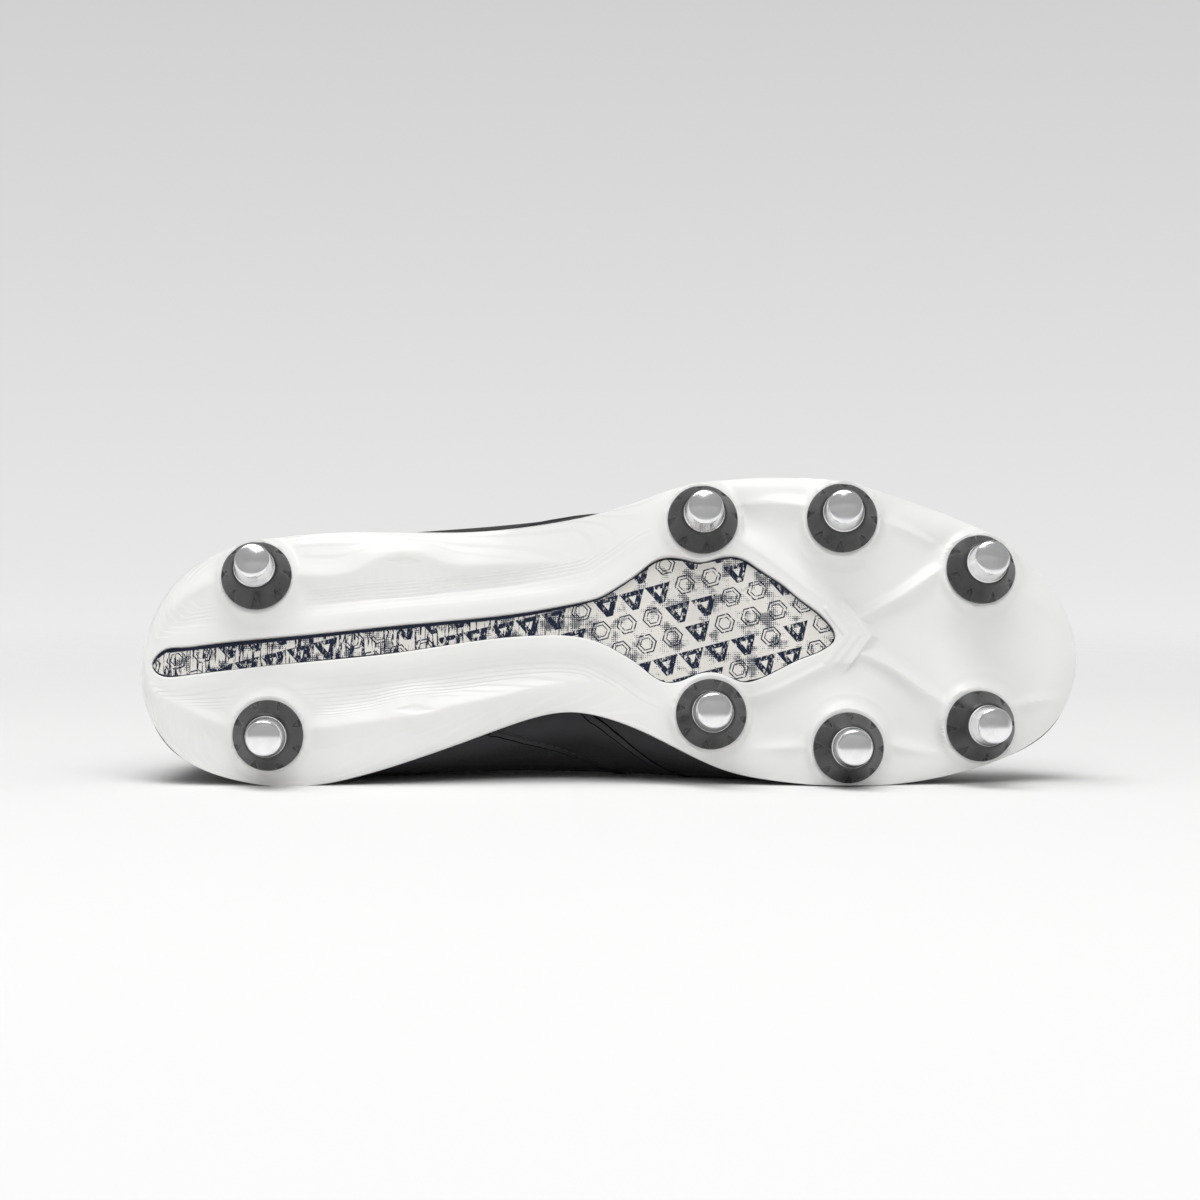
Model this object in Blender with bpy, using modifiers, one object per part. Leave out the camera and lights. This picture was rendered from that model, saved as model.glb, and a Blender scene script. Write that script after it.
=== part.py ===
"""Rugby boot for the right foot: a low laced upper on a moulded plate with eight screw-in studs.

The boot is drawn upright in its own frame (x from heel to toe, y towards the inner side of the foot,
z up from the underside of the plate at the ball) and is then laid on its inner side, the way it rests
with its sole to the viewer. All lengths are metres.
"""
import math

import bmesh
import bpy
import numpy as np
from mathutils import Matrix, Vector

MM = 0.001

# Driving sizes
LENGTH = 294 * MM
GAP = 0.3 * MM
PLATE = 3.6 * MM
LIP_WALL = 1.6 * MM
LIP_LEAN = math.tan(math.radians(10))
UPPER_WALL = 2.0 * MM
COLLAR_WALL = 4.0 * MM
COLLAR_PAD_DEPTH = 22 * MM
COLLAR_PAD_END = 86 * MM
COLLAR_PAD_FADE = 24 * MM
INSOLE = 3.0 * MM
HEEL_PIVOT = 38 * MM
TOE_PIVOT = 238 * MM
FLOOR_FLAT = 0.6 * MM
LIP_CLEAR = 0.45 * MM
BALL = 0.75 * LENGTH

# Facets of the swept forms
SIDE_STEPS = 20
TOE_STEPS = 14
HEEL_STEPS = 12
ARCH_ROWS = 3
CROWN_ROWS = 9
EDGE_ANGLES = (0, 35, 65, 90)
BOTTOM_SHARES = (0.35, 0.7)
TOP_SHARES = (0.6,)

# Edge of the plate seen from below: x, y, from the back of the heel along the inner side and back
PLATE_OUTLINE = MM * np.array([
    (0, 10.5), (3.2, 27), (12, 38.8), (31, 47), (48, 48.9), (68, 45.6), (87, 39.6), (106, 32.6),
    (120, 27.5), (133, 24.9), (146, 27), (163, 34.3), (181, 43), (200, 47.2), (221, 48.8), (240, 47.3),
    (257, 43.8), (275, 37), (287, 27.5), (294, 7), (290.4, -8.2), (275, -25.4), (257, -35.8), (238, -42.2),
    (219, -47.2), (200, -49), (182, -48.2), (163, -44), (144, -38), (125, -34.2), (100, -31.9),
    (70, -31.7), (48, -30.3), (28, -26), (12, -17), (2.8, -2)])

# Widest line of the last seen from above: x, y, in the same order
GIRTH_OUTLINE = MM * np.array([
    (0.2, 10), (2.1, 26.8), (11.6, 38.6), (31, 43.3), (50, 44.2), (75, 43), (105, 39.6), (133, 38), (160, 40),
    (185, 43.6), (210, 45.6), (230, 45), (255, 42.2), (276.5, 36), (289.3, 25.5), (293.4, 7), (288.6, -8),
    (273, -23.6), (250, -36.6), (225, -43.5), (200, -46.4), (180, -46), (160, -44), (135, -41),
    (105, -37), (75, -33), (48, -28.6), (28, -25), (12, -16), (3.6, -3)])

# Sections across the boot, from heel to toe
# x, axis y, plate rise, lip height, height of the widest line, crown height, roundness of the section
SECTIONS = np.array([
    (0, 10.5, 2.0, 5.5, 17, 165, 1.10),
    (40, 10.0, 0.0, 5.2, 17, 163, 1.10),
    (80, 7.4, 1.2, 3.5, 25, 140, 1.15),
    (105, 5.8, 4.5, 1.8, 35, 109, 1.40),
    (133, 4.6, 6.5, 1.2, 42, 89, 1.70),
    (160, 3.8, 4.5, 2.0, 35, 75, 1.85),
    (185, 3.2, 1.2, 3.4, 24, 64, 2.00),
    (210, 3.0, 0.0, 4.0, 17, 55, 2.15),
    (240, 4.0, 1.7, 4.4, 16.5, 46.5, 2.25),
    (270, 5.5, 6.0, 4.8, 19.5, 40, 2.35),
    (294, 7.0, 11.0, 5.0, 23.5, 35, 2.40)])

# Height of the collar edge along the boot: x, z
COLLAR = MM * np.array([(0, 79), (14, 77), (34, 69), (58, 63), (82, 68.5), (100, 80), (120, 98)])

# Half width of the lacing gap along the boot: x, half gap
THROAT = MM * np.array([(96, 22.5), (112, 20), (150, 14), (176, 10), (186, 7.5)])
THROAT_FRONT = 188 * MM

# Lacing
EYELET_FIRST = 113 * MM
EYELET_LAST = 177 * MM
EYELET_ROWS = 6
EYELET_INSET = 8 * MM
EYELET_RADIUS = 1.9 * MM
EYELET_FACETS = 8
LACE_HALF_WIDTH = 2.8 * MM
LACE_WALL = 1.4 * MM
LACE_LIFT = 0.6 * MM
LACE_POINTS = 8
BAR_LIFT = 0.95 * MM
OVER_LIFT = 1.3 * MM

# Tongue along the boot: x on the crown, half width, sweep back of its sides
TONGUE = MM * np.array([
    (97, 11, 1.6), (98.5, 18, 4), (102, 23.5, 6.5), (108, 26.5, 7), (118, 27.5, 5), (132, 27, 3), (150, 25, 0),
    (175, 22.5, 0), (198, 19, 0), (202, 15, 0)])
TONGUE_WALL = 4.5 * MM
TONGUE_STEPS = 13
TONGUE_ROWS = 10
TONGUE_CROWDING = 1.6

# Clear window in the plate: x, outer edge y, inner edge y
WINDOW = MM * np.array([
    (3.6, 10.2, 11.0), (5, 7.6, 13.3), (8, 5.6, 14.6), (13, 5.2, 14.4), (19, 4.6, 13.7), (50, 1.6, 10.4),
    (81, -1.8, 7.0), (112, -5.3, 2.0), (125, -7.3, 1.0), (137, -9.6, 1.5), (144, -11.5, 3.5), (150, -15, 6.7),
    (156, -19, 10.7), (161, -22.7, 14.8), (164.5, -23.6, 16.3), (170, -23, 15.6), (175, -21.9, 13.6),
    (180, -22.9, 13.4), (184.5, -23.6, 15), (188, -22.9, 16.4), (194, -19, 15.2), (200, -15, 12.3),
    (206.5, -9.6, 9.2), (211.5, -5.9, 7.3), (215, -2.4, 5.3), (217, 1.0, 3.0)])
WINDOW_RECESS = 1.2 * MM
WINDOW_SLANT = 1.6
WINDOW_SLIMMEST = 0.3
FRAME_OFFSET = 4.2 * MM
FRAME_HALF_WIDTH = 4.4 * MM
FRAME_HEIGHT = 1.7 * MM
FRAME_FROM = 13 * MM
FRAME_TO = 212 * MM

# Studs: x, y, lean towards the toe in degrees, splay outwards in degrees
STUDS = {
    "heel_outer": (36.4, -16.5, 0, 9.5), "heel_inner": (40.6, 33.3, 0, 9),
    "rear_outer": (175.8, -34.6, 2, 6), "rear_inner": (178.2, 26.6, 2, 1.5),
    "middle_outer": (219.4, -34.8, 0, 4), "middle_inner": (220.7, 37.2, 4, 5.5),
    "front_outer": (262.9, -19.2, 8, 5.5), "front_inner": (262.1, 30.0, 11, 5.5)}
STUD_FACETS = 16
STUD_SKIRT = MM * np.array([(0, 0), (11, 0), (11, 1.2), (7.0, 8.4), (0, 8.4)])
STUD_TIP = MM * np.array([(0, 8.7), (6.4, 8.7), (5.45, 16.4), (4.8, 17.6), (0, 17.6)])
BOSS_HEIGHT = 3.0 * MM
BOSS_SEAT = 11.9 * MM
BOSS_FOOT = 15 * MM
BOSS_SHIFT = 3 * MM
BOSS_ROOT = 1.6 * MM

# Ribs under the plate, each a row of sections: x, y, half width, height
RIBS = {
    "toe_outer": [(222, -2, 4, 1.8), (238, -9.5, 4.2, 2.2), (254, -16, 5, 2.6)],
    "toe_inner": [(223, 7, 4, 1.8), (239, 15.5, 4.2, 2.2), (254, 24, 5, 2.6)],
    "apex_outer": [(212, -10, 4, 1.9), (221, -3.5, 4.4, 2.4), (227.5, 2, 4.2, 2.2)],
    "apex_inner": [(213, 12, 4, 1.9), (221, 8, 4.4, 2.4), (228, 1.5, 4.2, 2.2)],
    "spine_outer": [(8, -3, 2, 0.5), (22, -12, 5, 2.2), (36, -16, 7, 2.8), (52, -18.6, 5.5, 2.4),
                    (70, -19.2, 4.5, 2.0), (84, -18.8, 7, 3.0), (98, -20.6, 4.5, 1.8),
                    (116, -22, 3, 1.2), (134, -22.2, 1, 0.3)],
    "spine_inner": [(6, 21, 2, 0.5), (22, 27, 5, 2.2), (40, 31, 7, 2.8), (54, 27.4, 5.5, 2.4),
                    (68, 25.8, 4.5, 2.0), (84, 23.8, 7, 3.0), (98, 21.8, 4.5, 1.8),
                    (116, 18.2, 3, 1.2), (134, 15.6, 1, 0.3)],
    "wing_middle_outer": [(190, -39.4, 1, 0.3), (201, -39.2, 2.4, 1.3), (214, -36.6, 3.5, 2.2),
                          (226, -34.6, 3.5, 2.2), (239, -31.6, 2.4, 1.3), (249, -28.4, 1, 0.3)],
    "wing_middle_inner": [(193, 37.2, 1, 0.3), (203, 36.8, 2.4, 1.3), (216, 36.8, 3.5, 2.2),
                          (228, 37, 3.5, 2.2), (239, 37.6, 2.4, 1.3), (249, 38.2, 1, 0.3)],
    "wing_front_outer": [(268, -18, 3.5, 2.2), (279, -12, 2.4, 1.4), (288, -3.2, 1, 0.3)],
    "wing_front_inner": [(268, 27, 3.5, 2.2), (278, 22.6, 2.4, 1.4), (288, 20.8, 1, 0.3)]}
RIB_CREST = 0.35
RIB_ROOT = 1.4 * MM

# Finishes: colour, roughness, metallic
FINISHES = {
    "white_plate": ((0.86, 0.86, 0.85), 0.32, 0.0),
    "window_print": ((0.60, 0.59, 0.58), 0.15, 0.0),
    "black_upper": ((0.016, 0.016, 0.018), 0.5, 0.0),
    "black_lining": ((0.02, 0.02, 0.022), 0.85, 0.0),
    "black_lace": ((0.018, 0.018, 0.02), 0.75, 0.0),
    "grey_nylon": ((0.055, 0.055, 0.058), 0.4, 0.0),
    "bare_aluminium": ((0.8, 0.8, 0.81), 0.2, 1.0)}


def spline(knots, values):
    """A natural cubic through the rows of a table, as a function of its first column."""
    knots = np.asarray(knots, float)
    values = np.asarray(values, float)
    step = np.diff(knots)
    system = np.eye(len(knots))
    bend = np.zeros_like(values)
    for i in range(1, len(knots) - 1):
        system[i, i - 1:i + 2] = step[i - 1], 2 * (step[i - 1] + step[i]), step[i]
        bend[i] = 6 * ((values[i + 1] - values[i]) / step[i] - (values[i] - values[i - 1]) / step[i - 1])
    bend = np.linalg.solve(system, bend)

    def at(x):
        x = np.clip(x, knots[0], knots[-1])
        i = np.clip(np.searchsorted(knots, x) - 1, 0, len(step) - 1)
        before, after, span = x - knots[i], knots[i + 1] - x, step[i]
        if values.ndim > 1:
            before, after, span = before[..., None], after[..., None], span[..., None]
        line = (values[i] * after + values[i + 1] * before) / span
        sag = bend[i] * (after ** 3 / span - after * span)
        sag += bend[i + 1] * (before ** 3 / span - before * span)
        return line + sag / 6

    return at


def closed_outline(points, per_span=10):
    """A smooth closed line through the points of an outline, as many short chords."""
    wrapped = np.vstack([points[-3:], points, points[:4]])
    chord = np.concatenate([[0], np.cumsum(np.linalg.norm(np.diff(wrapped, axis=0), axis=1))])
    steps = np.linspace(chord[3], chord[3 + len(points)], per_span * len(points), endpoint=False)
    return spline(chord, wrapped)(steps)


axis_y, rise, lip, girth_height, crown, roundness = (
    spline(MM * SECTIONS[:, 0], scale * SECTIONS[:, column])
    for column, scale in ((1, MM), (2, MM), (3, MM), (4, MM), (5, MM), (6, 1.0)))
collar_height = spline(COLLAR[:, 0], COLLAR[:, 1])
throat_gap = spline(THROAT[:, 0], THROAT[:, 1])
plate_edge = closed_outline(PLATE_OUTLINE)
girth_edge = closed_outline(GIRTH_OUTLINE)


class Ray:
    """A line in plan from the boot's axis out to its edge: each form is swept along these."""

    def __init__(self, x, angle):
        self.start = np.array([x, float(axis_y(x))])
        self.way = np.array([math.cos(angle), math.sin(angle)])
        self.plate = self.reach(plate_edge)
        self.girth = self.reach(girth_edge)

    def reach(self, outline):
        """Distance from the axis to an outline along this ray."""
        a = outline - self.start
        b = np.roll(outline, -1, axis=0) - self.start
        cross_a = self.way[0] * a[:, 1] - self.way[1] * a[:, 0]
        cross_b = self.way[0] * b[:, 1] - self.way[1] * b[:, 0]
        hit = (cross_a > 0) != (cross_b > 0)
        share = cross_a[hit] / (cross_a[hit] - cross_b[hit])
        points = a[hit] + share[:, None] * (b[hit] - a[hit])
        return float((points @ self.way).max())

    def at(self, distance):
        return self.start + self.way * distance

    def edge_x(self):
        return float(np.clip(self.at(self.plate)[0], 0, LENGTH))

    def seat(self):
        """(distance of the lip's inner wall, height of the lip's top) on this ray."""
        x = self.edge_x()
        rounding = 0.5 * (PLATE + lip(x))
        return self.plate - LIP_WALL - rounding * LIP_LEAN, float(rise(x) + PLATE + lip(x))


def all_rays():
    """Rays from the heel along the inner side, round the toe, back along the outer side, round the heel."""
    stations = np.linspace(HEEL_PIVOT, TOE_PIVOT, SIDE_STEPS + 1)
    quarter = math.pi / 2
    toe = np.linspace(quarter, -quarter, TOE_STEPS + 1)[1:-1]
    heel = np.linspace(-quarter, -3 * quarter, HEEL_STEPS + 1)[1:-1]
    return ([Ray(x, quarter) for x in stations] + [Ray(TOE_PIVOT, a) for a in toe]
            + [Ray(x, -quarter) for x in stations[::-1]] + [Ray(HEEL_PIVOT, a) for a in heel])


RAYS = all_rays()


def plate_point(ray, distance, height):
    """Point on a ray at a height over the plate's underside."""
    x, y = ray.at(distance)
    return x, y, float(rise(x)) + height


def section_powers(x):
    """(power across, power upwards) of a section: round over the crown, leaning in or full at the sides."""
    upwards = 2 / float(roundness(x))
    return min(1.0, upwards), upwards


def crown_point(ray, angle):
    """Outer face of the upper on a ray, from the widest line (0) to the crown (90 degrees)."""
    widest = ray.at(ray.girth)[0]
    across, upwards = section_powers(widest)
    x, y = ray.at(ray.girth * math.cos(angle) ** across)
    low = float(girth_height(widest))
    return x, y, low + (float(crown(x)) - low) * math.sin(angle) ** upwards


def top_angle(ray):
    """Angle at which a ray meets the collar or the lacing gap; 90 degrees where the vamp is closed."""
    if ray.start[0] > THROAT_FRONT:
        return math.pi / 2
    x = ray.at(ray.girth)[0]
    across, upwards = section_powers(x)
    low, high = float(girth_height(x)), float(crown(x))
    share = (float(collar_height(x)) - low) / (high - low)
    angle = math.asin(min(1, share) ** (1 / upwards))
    if x > THROAT[0, 0]:
        angle = min(angle, math.acos((float(throat_gap(x)) / ray.girth) ** (1 / across)))
    return angle


def surface_point(x, y, lift=0.0):
    """Point of the closed last at a plan position beside the axis, lifted along its normal."""
    def raw(px, py):
        side = Ray(px, math.copysign(math.pi / 2, py - float(axis_y(px))))
        share = min(1, abs(py - side.start[1]) / side.girth)
        return np.array(crown_point(side, math.acos(share ** (1 / section_powers(px)[0]))))

    step = 1 * MM
    along = raw(x + step, y) - raw(x - step, y)
    across = raw(x, y + step) - raw(x, y - step)
    normal = np.cross(along, across)
    return raw(x, y) + normal / np.linalg.norm(normal) * lift


def sewn_sheet(columns, closed):
    """Verts and faces of a sheet swept over the rays.

    A closed column shares its last point with the ray opposite, or with the whole fan at the toe or heel."""
    verts, faces, rows, shared = [], [], len(columns[0]), {}
    index = []
    for ray, column, shut in zip(RAYS, columns, closed):
        ids = []
        for row, point in enumerate(column):
            key = round(float(ray.start[0]), 6) if shut and row == rows - 1 else None
            if key is not None and key in shared:
                ids.append(shared[key])
                continue
            if key is not None:
                shared[key] = len(verts)
            ids.append(len(verts))
            verts.append(tuple(point))
        index.append(ids)
    for a, b in zip(index, index[1:] + index[:1]):
        for row in range(rows - 1):
            corners = list(dict.fromkeys((a[row], b[row], b[row + 1], a[row + 1])))
            if len(corners) > 2:
                faces.append(corners)
    return verts, faces


def floor_line():
    """(y, z) of the plate's inner edge at the ball, pressed flat by the floor."""
    return float(plate_edge[:, 1].max()) - FLOOR_FLAT, 0.5 * (PLATE + float(lip(BALL)))


def lying_roll(points):
    """Roll about x at which the upper comes down to the floor and is pressed as flat as the plate's edge."""
    edge_y, edge_z = floor_line()
    return min(math.atan2(edge_y - y + 2 * FLOOR_FLAT, z - edge_z) for _, y, z in points if z > 3 * edge_z)


def upper_columns():
    columns = []
    for ray in RAYS:
        inner, top = ray.seat()
        foot = inner - GAP
        column = [plate_point(ray, foot, PLATE + GAP)]
        low = float(girth_height(ray.at(ray.girth)[0]))
        start = top + LIP_CLEAR
        for row in range(ARCH_ROWS):
            swing = math.pi / 2 * row / ARCH_ROWS
            distance = foot + (ray.girth - foot) * math.sin(swing)
            column.append((*ray.at(distance), start + (low - start) * (1 - math.cos(swing))))
        last = top_angle(ray)
        column += [crown_point(ray, last * row / CROWN_ROWS) for row in range(CROWN_ROWS + 1)]
        columns.append(column)
    return columns


UPPER_COLUMNS = upper_columns()
ROLL = lying_roll([point for column in UPPER_COLUMNS for point in column])


def laid(point):
    """The point, or its foot on the floor where it would lie below it."""
    edge_y, edge_z = floor_line()
    x, y, z = point
    above = (edge_y - y) * math.cos(ROLL) - (z - edge_z) * math.sin(ROLL)
    if above >= 0:
        return x, y, z
    return x, y + above * math.cos(ROLL), z + above * math.sin(ROLL)


def clear_scene():
    for obj in list(bpy.data.objects):
        bpy.data.objects.remove(obj, do_unlink=True)


def material(name):
    colour, roughness_value, metallic = FINISHES[name]
    found = bpy.data.materials.get(name) or bpy.data.materials.new(name)
    found.use_nodes = True
    shader = found.node_tree.nodes["Principled BSDF"]
    shader.inputs["Base Color"].default_value = (*colour, 1)
    shader.inputs["Roughness"].default_value = roughness_value
    shader.inputs["Metallic"].default_value = metallic
    return found


def add_object(name, mesh, finish, collection, parent=None):
    obj = bpy.data.objects.new(name, mesh)
    collection.objects.link(obj)
    if finish:
        mesh.materials.append(material(finish))
    obj.parent = parent
    return obj


def mesh_from(name, verts, faces):
    mesh = bpy.data.meshes.new(name)
    mesh.from_pydata([tuple(v) for v in verts], [], faces)
    bm = bmesh.new()
    bm.from_mesh(mesh)
    bmesh.ops.recalc_face_normals(bm, faces=bm.faces)
    bmesh.ops.triangulate(bm, faces=bm.faces)
    bm.to_mesh(mesh)
    bm.free()
    mesh.shade_smooth()
    mesh.set_sharp_from_angle(angle=math.radians(40))
    return mesh


def loft_mesh(name, rings):
    """A closed body through rings of equal count, capped at both ends."""
    count = len(rings[0])
    verts = [point for ring in rings for point in ring]
    faces = [tuple(range(count)), tuple(range(len(verts) - count, len(verts)))[::-1]]
    for row in range(len(rings) - 1):
        for i in range(count):
            j = (i + 1) % count
            faces.append((row * count + j, row * count + i, (row + 1) * count + i, (row + 1) * count + j))
    return mesh_from(name, verts, faces)


def helper(obj):
    obj.hide_render = True
    obj.display_type = "WIRE"
    return obj


def cut_with(obj, cutter, operation):
    modifier = obj.modifiers.new(operation.lower() + "_" + cutter.name, "BOOLEAN")
    modifier.operation = operation
    if isinstance(cutter, bpy.types.Collection):
        modifier.operand_type = "COLLECTION"
        modifier.collection = cutter
    else:
        modifier.object = cutter
    modifier.solver = "EXACT"
    return modifier


def plate_columns():
    """One profile for each ray: underside from the axis out, round the edge, over the lip, back on top."""
    columns = []
    for ray in RAYS:
        x = ray.edge_x()
        inner, lip_top = ray.seat()
        rounding = 0.5 * (PLATE + float(lip(x)))
        flat = ray.plate - rounding
        under = [(flat * share, 0) for share in BOTTOM_SHARES]
        for degrees in EDGE_ANGLES:
            a = math.radians(degrees)
            under.append((flat + rounding * math.sin(a), rounding * (1 - math.cos(a))))
        over = [(inner * share, PLATE) for share in (1,) + TOP_SHARES]
        column = [plate_point(ray, distance, height) for distance, height in under]
        column += [(*ray.at(inner + LIP_WALL), lip_top), (*ray.at(inner), lip_top)]
        column += [plate_point(ray, distance, height) for distance, height in over]
        columns.append([laid(point) for point in column])
    return columns


def joined_mesh(name, skins):
    """One closed mesh from sheets that share their borders."""
    bm = bmesh.new()
    for verts, faces in skins:
        made = [bm.verts.new(v) for v in verts]
        for face in faces:
            bm.faces.new([made[i] for i in face])
    bmesh.ops.remove_doubles(bm, verts=bm.verts, dist=1e-6)
    bmesh.ops.recalc_face_normals(bm, faces=bm.faces)
    bmesh.ops.triangulate(bm, faces=bm.faces)
    mesh = bpy.data.meshes.new(name)
    bm.to_mesh(mesh)
    bm.free()
    mesh.shade_smooth()
    mesh.set_sharp_from_angle(angle=math.radians(40))
    return mesh


def plate_mesh():
    """The plate's skin: the swept profiles closed over the axis on each face."""
    columns = plate_columns()
    under = [(*ray.start, float(rise(ray.start[0]))) for ray in RAYS]
    over = [(*ray.start, float(rise(ray.start[0])) + PLATE) for ray in RAYS]
    shut = [True] * len(RAYS)
    return joined_mesh("outsole", [
        sewn_sheet([column[::-1] + [low] for column, low in zip(columns, under)], shut),
        sewn_sheet([[column[-1], high] for column, high in zip(columns, over)], shut)])


def stud_frame(stud):
    """(seat centre, unit axis pointing away from the plate) of a row of the stud table."""
    x, y = stud[0] * MM, stud[1] * MM
    lean, splay = (math.tan(math.radians(angle)) for angle in stud[2:])
    side = math.copysign(1, y - float(axis_y(x)))
    return Vector((x, y, float(rise(x)) - BOSS_HEIGHT)), Vector((lean, side * splay, -1)).normalized()


def boss_mesh(name, stud):
    """A skewed cone under a stud: round at the seat, with its foot on the plate and drawn in to the axis."""
    seat, way = stud_frame(stud)
    height = BOSS_HEIGHT + BOSS_ROOT
    inwards = math.copysign(BOSS_SHIFT, float(axis_y(seat.x)) - seat.y)
    turn = Vector((0, 0, 1)).rotation_difference(way).to_matrix().to_4x4()
    bm = bmesh.new()
    bmesh.ops.create_cone(bm, cap_ends=True, segments=STUD_FACETS, radius1=BOSS_FOOT, radius2=BOSS_SEAT,
                          depth=height, matrix=Matrix.Translation(seat - way * height / 2) @ turn)
    for vert in bm.verts:
        if (vert.co - seat).dot(way) < -height / 2:
            vert.co.y += inwards
            vert.co.z = float(rise(vert.co.x)) + BOSS_ROOT
    bmesh.ops.triangulate(bm, faces=bm.faces)
    mesh = bpy.data.meshes.new(name)
    bm.to_mesh(mesh)
    bm.free()
    return mesh


def rib_mesh(name, rows):
    """A tapering ridge under the plate: four corners a section, root inside the plate, crest below it."""
    rows = np.array(rows, float) * MM
    heading = np.gradient(rows[:, :2], axis=0)
    heading /= np.linalg.norm(heading, axis=1)[:, None]
    rings = []
    for (x, y, half, height), (hx, hy) in zip(rows, heading):
        across = np.array([-hy, hx])
        ring = []
        for share, drop in ((-1, -RIB_ROOT), (-RIB_CREST, height), (RIB_CREST, height), (1, -RIB_ROOT)):
            px, py = np.array([x, y]) + across * half * share
            ring.append((px, py, float(rise(np.clip(px, 0, LENGTH))) - drop))
        rings.append(ring)
    return loft_mesh(name, rings)


def frame_rows(side):
    """Sections of the raised frame along one edge of the window: x, y, half width, height, in millimetres."""
    picked = [row for row in WINDOW if FRAME_FROM <= row[0] <= FRAME_TO]
    edge = np.array([(row[0], row[1 if side < 0 else 2]) for row in picked])
    heading = np.gradient(edge, axis=0)
    heading /= np.linalg.norm(heading, axis=1)[:, None]
    outwards = side * np.stack([-heading[:, 1], heading[:, 0]], axis=1)
    line = edge + outwards * FRAME_OFFSET
    return [(x / MM, y / MM, FRAME_HALF_WIDTH / MM, FRAME_HEIGHT / MM) for x, y in line]


def window_rings(inset, low, high):
    """The window's outline as a strip of sections, drawn in by inset, between two heights over the plate."""
    rings = []
    rows = WINDOW.copy()
    rows[0, 0] += inset
    rows[-1, 0] -= inset
    for x, outer, inner in rows:
        slim = min(inset * WINDOW_SLANT, WINDOW_SLIMMEST * (inner - outer))
        base = float(rise(x))
        rings.append([(x, outer + slim, base + low), (x, inner - slim, base + low),
                      (x, inner - slim, base + high), (x, outer + slim, base + high)])
    return rings


def build_outsole(parts, cutters, boot):
    obj = add_object("outsole", plate_mesh(), "white_plate", parts, boot)
    raised = bpy.data.collections.new("raised_on_plate")
    cutters.children.link(raised)
    ribs = dict(RIBS, frame_outer=frame_rows(-1), frame_inner=frame_rows(1))
    for name, rows in ribs.items():
        helper(add_object("rib_" + name, rib_mesh(name, rows), None, raised, boot))
    for name, stud in STUDS.items():
        helper(add_object("boss_" + name, boss_mesh(name, stud), None, raised, boot))
    cut_with(obj, raised, "UNION")
    reach = 20 * MM
    slot = loft_mesh("window_slot", window_rings(0, -reach, reach))
    cut_with(obj, helper(add_object("window_slot", slot, None, cutters, boot)), "DIFFERENCE")
    return obj


def build_window(parts, boot):
    mesh = loft_mesh("sole_window", window_rings(GAP, WINDOW_RECESS, PLATE - GAP))
    return add_object("sole_window", mesh, "window_print", parts, boot)


def build_upper(parts, cutters, boot):
    columns = [[laid(point) for point in column] for column in UPPER_COLUMNS]
    shut = [ray.start[0] > THROAT_FRONT for ray in RAYS]
    verts, faces = sewn_sheet(columns, shut)
    obj = add_object("upper", mesh_from("upper", verts, faces), "black_upper", parts, boot)
    pad = obj.vertex_groups.new(name="collar_pad")
    for i, (x, _, z) in enumerate(verts):
        share = 1 - (float(collar_height(x)) - z) / COLLAR_PAD_DEPTH
        fade = (COLLAR_PAD_END - x) / COLLAR_PAD_FADE
        pad.add([i], max(0.0, min(1.0, share, fade)), "REPLACE")
    shell = obj.modifiers.new("wall", "SOLIDIFY")
    shell.thickness = COLLAR_WALL
    shell.offset = -1
    shell.use_even_offset = True
    shell.vertex_group = pad.name
    shell.thickness_vertex_group = UPPER_WALL / COLLAR_WALL
    cut_with(obj, eyelet_cutter(cutters, boot), "DIFFERENCE")
    return obj


def eyelet_places():
    """Plan positions of the eyelets: (inner, outer) pairs from the top of the lacing to its front."""
    pairs = []
    for x in np.linspace(EYELET_FIRST, EYELET_LAST, EYELET_ROWS):
        out = float(throat_gap(x)) + EYELET_INSET
        pairs.append([(float(x), float(axis_y(x)) + side * out) for side in (1, -1)])
    return pairs


def eyelet_cutter(cutters, boot):
    reach = 3 * UPPER_WALL
    bm = bmesh.new()
    for pair in eyelet_places():
        for x, y in pair:
            inside = Vector(surface_point(x, y, -reach))
            outside = Vector(surface_point(x, y, reach))
            way = outside - inside
            turn = Vector((0, 0, 1)).rotation_difference(way).to_matrix().to_4x4()
            place = Matrix.Translation((inside + outside) / 2) @ turn
            bmesh.ops.create_cone(bm, cap_ends=True, segments=EYELET_FACETS, radius1=EYELET_RADIUS,
                                  radius2=EYELET_RADIUS, depth=way.length, matrix=place)
    mesh = bpy.data.meshes.new("eyelet_holes")
    bm.to_mesh(mesh)
    bm.free()
    return helper(add_object("eyelet_holes", mesh, None, cutters, boot))


def build_tongue(parts, boot):
    """A padded strip under the lacing gap, its top swept back round the ankle."""
    half_width, sweep = (spline(TONGUE[:, 0], TONGUE[:, column]) for column in (1, 2))
    under = -(UPPER_WALL + 2 * GAP)
    verts, faces = [], []
    for step in np.linspace(0, 1, TONGUE_STEPS + 1):
        station = TONGUE[0, 0] + (TONGUE[-1, 0] - TONGUE[0, 0]) * step ** TONGUE_CROWDING
        for share in np.linspace(1, -1, TONGUE_ROWS + 1):
            x = station - float(sweep(station)) * share ** 2
            y = float(axis_y(x)) + share * float(half_width(station))
            verts.append(surface_point(x, y, under))
    across = TONGUE_ROWS + 1
    for i in range(TONGUE_STEPS):
        for j in range(TONGUE_ROWS):
            a = i * across + j
            faces.append((a, a + 1, a + across + 1, a + across))
    mesh = mesh_from("tongue", verts, faces)
    if sum(polygon.normal.z for polygon in mesh.polygons) < 0:
        mesh.flip_normals()
    obj = add_object("tongue", mesh, "black_lining", parts, boot)
    shell = obj.modifiers.new("padding", "SOLIDIFY")
    shell.thickness = TONGUE_WALL
    shell.offset = -1
    return obj


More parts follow.
